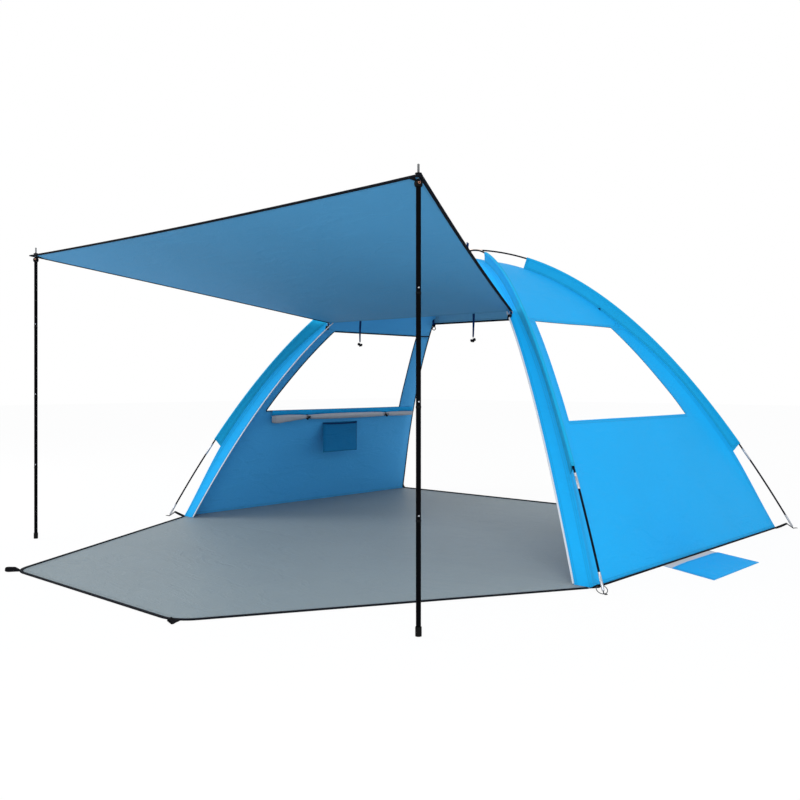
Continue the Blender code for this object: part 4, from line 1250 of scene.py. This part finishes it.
def crossing_tie(webbing):
    """A cloth loop from the top of the roof round both rods, its knot and its two standing tails."""
    sideways = Vector((1, 0, 0))
    path = []
    for t in steps_to(30):
        a = math.tau * (t - 0.25)
        y = 0.0148 * math.copysign(abs(math.cos(a)) ** 0.55, math.cos(a))
        z = 1.66475 + 0.0325 * math.copysign(abs(math.sin(a)) ** 0.7, math.sin(a))
        path.append(Vector((0.0004 * math.sin(a * 3), y, z)))
    fit(ribbon("crossing_tie", path, sideways, 0.012, 0.0013, webbing, 6), "tent", "pocket_cloth", "apex_tie")
    path = []
    for t in steps_to(45):
        a = t * math.tau * 2.1
        z = 1.6985 + 0.0062 * t + 0.0012 * math.sin(a * 2)
        path.append(Vector((0.0052 * math.cos(a) + 0.0006, 0.0050 * math.sin(a), z)))
    leans = [Vector((math.cos(k * 0.29), math.sin(k * 0.29), 0)) for k in range(len(path))]
    across = [(UP + lean * 0.35).normalized() for lean in leans]
    fit(ribbon("crossing_knot", path, across, 0.0058, 0.0014, webbing, 3), "tent", "pocket_cloth")
    for label, way, tall in (("front", -1, 0.0390), ("rear", 1, 0.0345)):
        path, across, widths = [], [], []
        for t in steps_to(14):
            y = way * (0.0014 + 0.0032 * t * t)
            path.append(Vector((0.0016 * way * math.sin(t * 3), y, 1.7015 + tall * t)))
            across.append(Vector((1, 0.5 * way * t, 0)).normalized())
            widths.append(between(0.0075, 0.0115, t))
        fit(ribbon("tie_tail_" + label, path, across, widths, 0.0012, webbing, 4), "tent", "pocket_cloth")


def buckle(name, centre, finish, facing):
    """A moulded side-release buckle: a bevelled body with a sunk face."""
    width, depth, height = 0.023, 0.007, 0.027
    clear_hands()
    bpy.ops.mesh.primitive_cube_add(size=1, location=(0, 0, 0))
    piece = bpy.context.object
    piece.name = piece.data.name = name
    piece.dimensions = (width, depth, height)
    settle(piece)
    select_faces(piece, lambda face: abs(face.normal.y) > 0.9)
    bpy.ops.mesh.inset(thickness=width * 0.16, depth=-depth * 0.22)
    bpy.ops.object.mode_set(mode="OBJECT")
    round_edges(piece, depth * 0.22, 3, 40)
    set_down(piece, centre, Vector(facing).to_track_quat("-Y", "Z"))
    piece.data.materials.append(finish)
    smooth(piece, 45)
    return piece


def corner_patches(webbing, name, side):
    """Webbing over and under the awning's front corner, with a hole for the pole's spike."""
    size_a, size_b = 0.05, 0.07
    hole_middle = Vector((side * POLE_X, POLE_Y))
    for face, lift, thickness, hole in (("top", 0.0020, 0.0022, 0.0098), ("under", -0.0030, 0.0014, 0.0125)):
        def place(a, b):
            along = between(1.0, 0.964, b)
            reach = 0.062 * a * (0.28 + 0.72 * (1 - b))
            ratio = 1 - reach / awning_half(along)
            return awning_place((1 + side * ratio) / 2, along, lift) - Vector((side * 0.002, -0.002, 0))

        def cut(a, b):
            return a * size_a, b * size_b

        def hem(a, b):
            return min(a, 1 - a) * size_a, b * size_b

        def keep(a, b):
            return (place(a, b).xy - hole_middle).length > hole

        patch = lay_cloth(
            f"corner_patch_{name}_{face}", 24, 24, place, cut, hem, (webbing, webbing), thickness, 0.0, keep,
        )
        fit(patch, "awning", "black_webbing")


def awning_corners(webbing, steel, dull_steel, plastic, strap_blue):
    """Patches with eyelets on the front corners, and ring, strap and buckle at the rear ones."""
    rim = [(0.0118, -0.0001), (0.0128, 0.0004), (0.0128, 0.0026), (0.0118, 0.0034)]
    rim += [(0.0056, 0.0034), (0.0046, 0.0026)]
    for name, side in SIDES:
        corner_patches(webbing, name, side)
        place = (side * POLE_X, POLE_Y, 1.5706)
        fit(turned("eyelet_" + name, rim, dull_steel, 24, place, (0, AWNING_SLOPE, 1)), "awning", "steel")
        corner = Vector((side * 0.7010, AWNING_REAR - 0.0060, FRONT_SEAM - 0.0060))
        path = []
        for t in steps_to(8):
            path.append(corner + Vector((side * 0.0012 * math.sin(t * 3), -0.004 * t, 0.006 - 0.020 * t)))
        strap = ribbon("rear_corner_strap_" + name, path, Vector((1, 0, 0)), 0.014, 0.0014, strap_blue, 4)
        fit(strap, "awning", "pocket_cloth")
        ring = wire_ring(
            "rear_corner_ring_" + name, corner + Vector((0, -0.005, -0.004)), (1, 0.3, 0), (0, -0.15, 1),
            0.0095, 0.0012, steel,
        )
        fit(ring, "awning", "steel")
        centre = corner + Vector((-side * 0.001, -0.0150, -0.0270))
        clip = buckle("rear_corner_buckle_" + name, centre, plastic, (0.35, -1, 0.35))
        fit(clip, "awning", "toggle_plastic")


def rear_corner_ties(strap_blue, black):
    """A short strap with its knot and ring at each upper corner of the open rear."""
    wide = Vector((0.93, 0.37, 0))
    for name, side in SIDES:
        x, y = side * (HALF_WIDTH * REAR_SHARE - 0.030), HALF_DEPTH * REAR_SHARE - 0.034
        top = Vector((x, y, REAR_EDGE + 0.036))
        path = []
        for t in steps_to(12):
            path.append(top + Vector((side * 0.002 * math.sin(t * 4), 0.004 * t, -0.050 * t)))
        end = path[-1]
        strap = ribbon("rear_tie_strap_" + name, path, wide, 0.015, 0.0014, strap_blue, 4)
        fit(strap, "tent", "pocket_cloth")
        path = []
        for t in steps_to(53):
            a = t * math.tau * 2.4
            z = 0.004 - 0.011 * t + 0.0022 * math.sin(a * 2)
            path.append(end + Vector((0.0082 * math.cos(a), 0.0065 * math.sin(a), z)))
        fit(round_cord("rear_tie_knot_" + name, path, 0.0034, black, 10), "tent", "black_webbing")
        ring = wire_ring("rear_tie_ring_" + name, end - UP * 0.0205, wide, UP, 0.0108, 0.0030, black)
        fit(ring, "tent", "toggle_plastic")


# Roof ties, rolls, pockets and loops

def roof_ties(cord_finish, strap_blue, plastic):
    """The ties on the roof's front edge: a cord in a rolled strap, knotted round a toggle."""
    shape = both_halves([
        (0.0040, -0.0150), (0.0075, -0.0135), (0.0086, -0.0100), (0.0076, -0.0060), (0.0052, -0.0035),
    ])
    wide = Vector((0.82, 0.57, 0))
    for name, side in SIDES:
        exit_point = Vector((side * 0.437, -0.5027, 1.2535))
        path = []
        for t in steps_to(24):
            sway = 0.0035 * math.sin(math.pi * t)
            x, y = -0.0045 * t * t + sway * 0.4 * side, -0.0022 * math.sin(math.pi * t)
            path.append(exit_point + Vector((x, y, -0.1495 * t)))
        line = round_cord("roof_tie_cord_" + name, path, 0.0015, cord_finish, 10)
        widths = [between(0.0140, 0.0085, k / 22) for k in range(22)] + [0.0070]
        strap = ribbon("roof_tie_strap_" + name, path[:23], wide, widths, 0.0044, strap_blue, 6)
        round_edges(strap, 0.0012)
        seat = path[-1] - UP * 0.0035
        toggle = turned("roof_toggle_" + name, shape, plastic, 20, seat, (0.86, 0.40, 0.30 * side))
        winding = []
        for a in (0.3 * k for k in range(46)):
            drop = 0.003 * math.sin(a * 1.5) - 0.0095 * a / 14
            winding.append(seat + Vector((0.0048 * math.cos(a), 0.0055 * math.sin(a), drop)))
        knot = round_cord("roof_tie_knot_" + name, winding, 0.0024, plastic)
        fit(line, "tent", "black_webbing", "roof_tie_" + name, "tie_toggle_" + name)
        fit(strap, "tent", "pocket_cloth")
        fit(toggle, "tent", "toggle_plastic")
        fit(knot, "tent", "toggle_plastic")


# How wide a cover roll is along its length, and how far it hangs, as shares of its plain radius
ROLL_WIDE = [
    (0, 0.78), (0.04, 0.92), (0.10, 0.98), (0.16, 0.88), (0.22, 0.62), (0.28, 0.84), (0.38, 0.98),
    (0.52, 1.0), (0.66, 0.96), (0.74, 0.82), (0.78, 0.60), (0.83, 0.80), (0.92, 0.86), (1.0, 0.74),
]
ROLL_DROP = [(0, 1.75), (0.04, 1.85), (0.10, 1.45), (0.16, 1.05)] + ROLL_WIDE[4:]
ROLL_RADIUS = 0.0208
ROLL_LEVEL = 0.648
ROLL_SHARE = share_at(ROLL_LEVEL)
ROLL_LEAN = Vector((2 * HEIGHT * ROLL_SHARE, 0, HALF_WIDTH)).normalized()
ROLL_FACING = math.atan2(ROLL_LEAN.z, ROLL_LEAN.x)


def eased(table, t):
    """Reads a list of (share, value) with soft steps."""
    for (first, low), (second, high) in zip(table, table[1:]):
        if t <= second:
            return between(low, high, soft_step((t - first) / (second - first)))
    return table[-1][1]


def roll_point(side, t, angle, reach):
    centre = Vector((HALF_WIDTH * ROLL_SHARE, 0, ROLL_LEVEL)) - ROLL_LEAN * 0.0263
    wide, drop = eased(ROLL_WIDE, t), eased(ROLL_DROP, t)
    tall = min(wide, 1.0) if math.sin(angle) > 0 else drop
    x, z = centre.x + reach * wide * math.cos(angle), centre.z + reach * tall * math.sin(angle)
    return Vector((side * x, between(-0.618, 0.763, t), z))


def roll_ties(name, side, cord_finish, plastic):
    """Two loops round the cover roll, each with its toggle and its bow."""
    shape = both_halves([
        (0.0035, -0.0150), (0.0068, -0.0138), (0.0078, -0.0100), (0.0070, -0.0062), (0.0050, -0.0036),
    ])
    ties = []
    for number, t, lift in ((1, 0.22, 0.55), (2, 0.78, -0.5)):
        path = []
        for k in range(32):
            wander = Vector((0, 0.0015 * math.sin(k * 0.6), 0))
            path.append(roll_point(side, t, ROLL_FACING - math.tau * k / 30, ROLL_RADIUS + 0.0022) + wander)
        band = round_cord(f"roll_loop_{name}_{number}", path, 0.0019, cord_finish)
        seat = roll_point(side, t, math.pi + 0.45, ROLL_RADIUS + 0.0072)
        toggle = turned(f"roll_toggle_{name}_{number}", shape, plastic, 18, seat, (0.12 * side, 0.80, lift))
        path = []
        for a in (math.tau * k for k in steps_to(39)):
            x = -side * (0.0030 + 0.0035 * math.sin(a) ** 2)
            path.append(seat + Vector((x, 0.0170 * math.sin(a), 0.0085 * math.sin(2 * a) + 0.004)))
        bow = round_cord(f"roll_bow_{name}_{number}", path, 0.0017, cord_finish)
        ties.append(fit(band, "tent", "black_webbing"))
        ties.append(fit(toggle, "tent", "toggle_plastic"))
        ties.append(fit(bow, "tent", "black_webbing"))
    return ties


def window_roll(name, side, lining, blue, cord_finish, plastic):
    """The window's cover: sewn to the sill, hanging a little, then rolled up and held by two tied loops."""
    hanging, turns, rolled = 10, 5.6, 88
    columns, rows = hanging + rolled, 76

    def section(column, t):
        if column >= hanging:
            progress = (column - hanging) / rolled
            angle = ROLL_FACING - math.tau * turns * progress
            loose = max(0.0, 0.10 - t) / 0.10
            crease = 0.06 * soft_noise(t * 9, math.cos(angle) * 1.3 + 4, math.sin(angle) * 1.3)
            crease += 0.035 * math.sin(5 * angle + 9 * t)
            reach = ROLL_RADIUS * (1 - 0.74 * progress * (1 - 0.25 * loose)) * (1 + crease)
            point = roll_point(side, t, angle, reach)
            point.y -= 0.010 * loose * math.sin(angle * 0.5) + 0.004 * soft_noise(progress * 7, t)
            return point
        k = column / hanging
        start = roll_point(side, t, ROLL_FACING, ROLL_RADIUS)
        sill = wall_place(side, SILL_SHARE, 0, -0.0040)
        sill.y = start.y
        swell = 0.0075 * (0.75 + 0.6 * soft_noise(t * 6, k * 2, 3.0))
        swell += 0.0030 * soft_noise(t * 21, k * 3, 8.0)
        lean = Vector((side * ROLL_LEAN.x, 0, ROLL_LEAN.z))
        return sill.lerp(start, k) - lean * (swell * math.sin(math.pi * k))

    spans = lengths_along([section(column, 0.5) for column in range(columns + 1)])

    def place(a, b):
        return section(round(a * columns), b)

    def cut(a, b):
        return spans[round(a * columns)], b * COVER_WIDTH

    def hem(a, b):
        span = spans[round(a * columns)]
        return min(span, spans[-1] - span, b * COVER_WIDTH, (1 - b) * COVER_WIDTH), span + b

    faces = (lining, blue) if side > 0 else (blue, lining)
    piece = lay_cloth("cover_roll_" + name, columns, rows, place, cut, hem, faces, 0.0006, 0.0)
    fit(piece, "tent", "cover_lining", "window_roll_" + name)
    ties = roll_ties(name, side, cord_finish, plastic)
    area = sum(face.area for face in piece.data.polygons) / 2


def wall_pocket(cloth, binding):
    """A hung pouch: one strip of cloth, folded at its foot, sewn up at its sides, its mouth a little open."""
    x_back, y_front, y_rear, top, foot = -1.1944, -0.117, 0.216, 0.588, 0.378
    tall = top - foot
    fold, opened = 0.48, 0.52
    wide, long = POCKET_FLAT
    columns = 26

    def section(b):
        if b < fold:
            return x_back, top - tall * b / fold
        if b < opened:
            a = math.pi * (b - fold) / (opened - fold)
            return x_back + 0.0022 * (1 - math.cos(a)), foot + 0.0030 - 0.0026 * math.sin(a)
        return x_back + 0.0044, foot + (tall - 0.006) * (b - opened) / (1 - opened)

    def place(a, b):
        x, z = section(b)
        free = math.sin(math.pi * clamped(a)) ** 0.45
        if b >= 0.5:
            level = max(0.0, (b - opened) / (1 - opened))
            swell = (0.0040 * level ** 0.6 + 0.0012 * soft_noise(a * 5, b * 9, 2.0)) * free
            x = min(x + swell, -1.1872) if free > 0.02 else x_back + 0.0014
            z += 0.0022 * (1 - free) - 0.0030 * free * level ** 8
        return Vector((x, between(y_front, y_rear, a), z))

    def cut(a, b):
        return wide * a, long * b

    def hem(a, b):
        return min(min(a, 1 - a) * wide, min(b, 1 - b) * long + 0.001), wide * a + long * b

    piece = lay_cloth("wall_pouch", columns, 50, place, cut, hem, (cloth, cloth), 0.0011, 0.0)
    fit(piece, "tent", "pocket_cloth", "wall_pocket")
    rim = [place(a, 1) + Vector((0.0004, 0, -0.0035)) for a in steps_to(columns)]
    edge = fit(ribbon("wall_pouch_binding", rim, UP, 0.0085, 0.0022, binding, 3), "tent", "pocket_cloth")


def sand_pocket(name, side, faces):
    """A flat pouch on the ground: its under cloth runs on to the wall as a bare lip."""
    fold, folded, reach, mouth = 0.50, 0.56, 0.3072, 0.060
    wide, long = POUCH_FLAT

    def section(b):
        """How far out a row lies, and 0 for the under cloth or 1 for the upper."""
        if b < fold:
            return reach * b / fold, 0.0
        if b < folded:
            a = math.pi * (b - fold) / (folded - fold)
            return reach + 0.0022 * math.sin(a), 0.5 - 0.5 * math.cos(a)
        return between(reach, mouth, (b - folded) / (1 - folded)), 1.0

    def place(a, b):
        distance, layer = section(b)
        near = min(1.0, min(a, 1 - a) * wide / 0.09) ** 0.6
        outer = clamped((reach + 0.0022 - distance) / 0.07) ** 0.6
        pucker = 0.0009 * soft_noise(a * 22, distance * 12, side) * (1 - near)
        fill = 0.80 + 0.35 * soft_noise(a * 4.5, distance * 13, 6.0 + side)
        low = 0.0010 + 0.0004 * soft_noise(a * 6, distance * 9, 1.0)
        high = max(0.0030, 0.0022 + 0.0070 * near * outer * fill + pucker)
        y = between(-0.42, 0.10, a if side > 0 else 1 - a) - 0.14 * distance / 0.31
        return Vector((side * (HALF_WIDTH + 0.0004 + distance), y, between(low, high, layer)))

    def cut(a, b):
        return wide * a, long * b

    def hem(a, b):
        fold_line = abs(b - (fold + folded) / 2) * long + 0.001
        return min(min(a, 1 - a) * wide, (1 - b) * long, fold_line), wide * a + long * b

    pocket = "sand_pocket_" + name
    piece = lay_cloth("sand_pouch_" + name, 30, 64, place, cut, hem, faces, CLOTH, 0.0)
    fit(piece, pocket, "blue_cloth", pocket)


def stake_loops(webbing):
    """Webbing at the mat's rounded front corners, folded back on itself and sewn, its end an open eye."""
    section = rounded_profile([
        (0.0020, 0.0014), (0.010, 0.0012), (0.024, 0.0012), (0.045, 0.0012), (0.062, 0.0012),
        (0.0690, 0.0014), (0.0718, 0.0028), (0.0724, 0.0046), (0.0710, 0.0062), (0.0680, 0.0068),
        (0.060, 0.0062), (0.050, 0.0046), (0.038, 0.0036), (0.024, 0.0034), (0.012, 0.0034), (0.0040, 0.0036),
    ], 56)
    widths = [0.028 - 0.010 * max(0.0, (reach - 0.054) / 0.0184) ** 2 for reach, _ in section]
    for name, side in SIDES:
        way = Vector((side * LOOP_WAY[0], LOOP_WAY[1], 0)).normalized()
        root = Vector((side * LOOP_ROOT[0], LOOP_ROOT[1], 0))
        sideways = way.cross(UP)
        path, across = [], []
        for reach, height in section:
            lean = math.radians(34) * soft_step((reach - 0.006) / 0.030)
            facing = UP * math.cos(lean) - sideways * math.sin(lean)
            across.append(sideways * math.cos(lean) + UP * math.sin(lean))
            path.append(root + way * reach + facing * height + UP * (0.0145 * math.sin(lean)))
        loop = ribbon("stake_strap_" + name, path, across, widths, 0.0018, webbing, 8)
        fit(loop, "stake_loop_" + name, "black_webbing", "stake_loop_" + name)


# Build

def build():
    photographer()
    studio()
    blue = woven("blue_cloth", (0.006, 0.388, 0.820))
    blue_inside = woven("blue_cloth_inside", (0.078, 0.445, 0.870), 0.7)
    # The rear roof's inner face: the same cloth as the front roof's inner face, given a greyer, darker blue
    # as painted shade.
    rear_roof_inside_painted_shade = woven("roof_cloth_inside_painted_shade", (0.150, 0.410, 0.620), 0.7)
    sleeve_blue = woven("sleeve_cloth", (0.006, 0.350, 0.640), seam=0.007)
    # The awning's underside: the same cloth as its top, given a darker, greyer blue as painted shade.
    awning_under_painted_shade = woven("awning_underside_painted_shade", (0.070, 0.300, 0.545), 0.68, seam=0.010)
    awning_top = woven("awning_top", (0.012, 0.390, 0.850), seam=0.010)
    ground = woven("ground_sheet", (0.206, 0.252, 0.270), 0.5, 0.0026, crease=1.5, seam=0.012, sheen=0.05)
    pocket_blue = woven("pocket_cloth", (0.004, 0.175, 0.400), 0.7, seam=0.006)
    lining = woven("cover_lining", (0.420, 0.420, 0.445), 0.42, crease=1.6, seam=0.006, sheen=0.05)
    lip_grey = woven("lip_lining", (0.600, 0.580, 0.575), 0.5, crease=1.2, seam=0.006, sheen=0.05)
    tape = ribbed("binding_tape", (0.004, 0.005, 0.008))
    webbing = ribbed("black_webbing", (0.003, 0.003, 0.004))
    strap_blue = ribbed("navy_strap", (0.004, 0.022, 0.085))
    piping = ribbed("white_piping", (0.66, 0.70, 0.74), light=1.15, stitch=False)
    rods = glass_fibre("fibreglass_rod", (0.0015, 0.002, 0.005), (0.006, 0.007, 0.014))
    steel = bright_steel("steel", (0.42, 0.44, 0.48), 0.34)
    nickel = bright_steel("warm_nickel", (0.78, 0.66, 0.60), 0.32)
    copper = bright_steel("copper_eye", (0.46, 0.22, 0.15), 0.36)
    dull_steel = bright_steel("ring_steel", (0.040, 0.042, 0.046), 0.48)
    spike_steel = bright_steel("spike_steel", (0.20, 0.205, 0.21), 0.42)
    tube = coated_tube("black_tube", (0.0015, 0.0015, 0.002), 0.55)
    rubber = moulded("black_rubber", (0.003, 0.003, 0.003), 0.78)
    plastic = moulded("toggle_plastic", (0.004, 0.004, 0.005), 0.5)
    lace = braided_cord("tie_cord", (0.012, 0.013, 0.018))
    grey_lace = braided_cord("dark_cord", (0.010, 0.012, 0.020))
    dress_frame("apex_ferrule", nickel)
    for name, side in SIDES:
        dress_frame(f"awning_pole_{name}_section", tube)
        dress_frame(f"awning_pole_{name}_foot", rubber)
        side_wall(name, side, (blue, blue_inside))
        front_strip(name, side, (blue, blue_inside))
        window_roll(name, side, lining, blue, lace, plastic)
        sand_pocket(name, side, (blue, lip_grey))
    roof("front_roof", -1, SEAM_SHARE, (blue, blue_inside))
    roof("rear_roof", 1, REAR_SHARE, (blue, rear_roof_inside_painted_shade))
    for name in CORNERS:
        sleeve(name, sleeve_blue)
    floor_sheet(ground)
    door_mat(ground)
    awning((awning_top, awning_under_painted_shade))
    ground_edges(tape)
    awning_edges(tape)
    rear_roof_edge(tape)
    for name, side in SIDES:
        rear_wall_edge(tape, name, side)
        window_tapes(tape, name, side)
        door_piping(piping, name, side)
    upper_rods(rods)
    lower_rods(rods)
    pole_ends(steel, dull_steel)
    pole_fittings(steel, spike_steel, rubber, copper)
    corner_straps(webbing)
    crossing_tie(strap_blue)
    awning_corners(webbing, steel, dull_steel, plastic, strap_blue)
    rear_corner_ties(strap_blue, plastic)
    roof_ties(grey_lace, strap_blue, plastic)
    wall_pocket(pocket_blue, strap_blue)
    stake_loops(webbing)


def lay_floor():
    clear_hands()
    bpy.ops.mesh.primitive_plane_add(size=60, location=(0, 0, -0.001))
    floor = bpy.context.object
    floor.name = "studio_floor"
    settle(floor)
    floor.data.materials.append(paved())


build()
lay_floor()
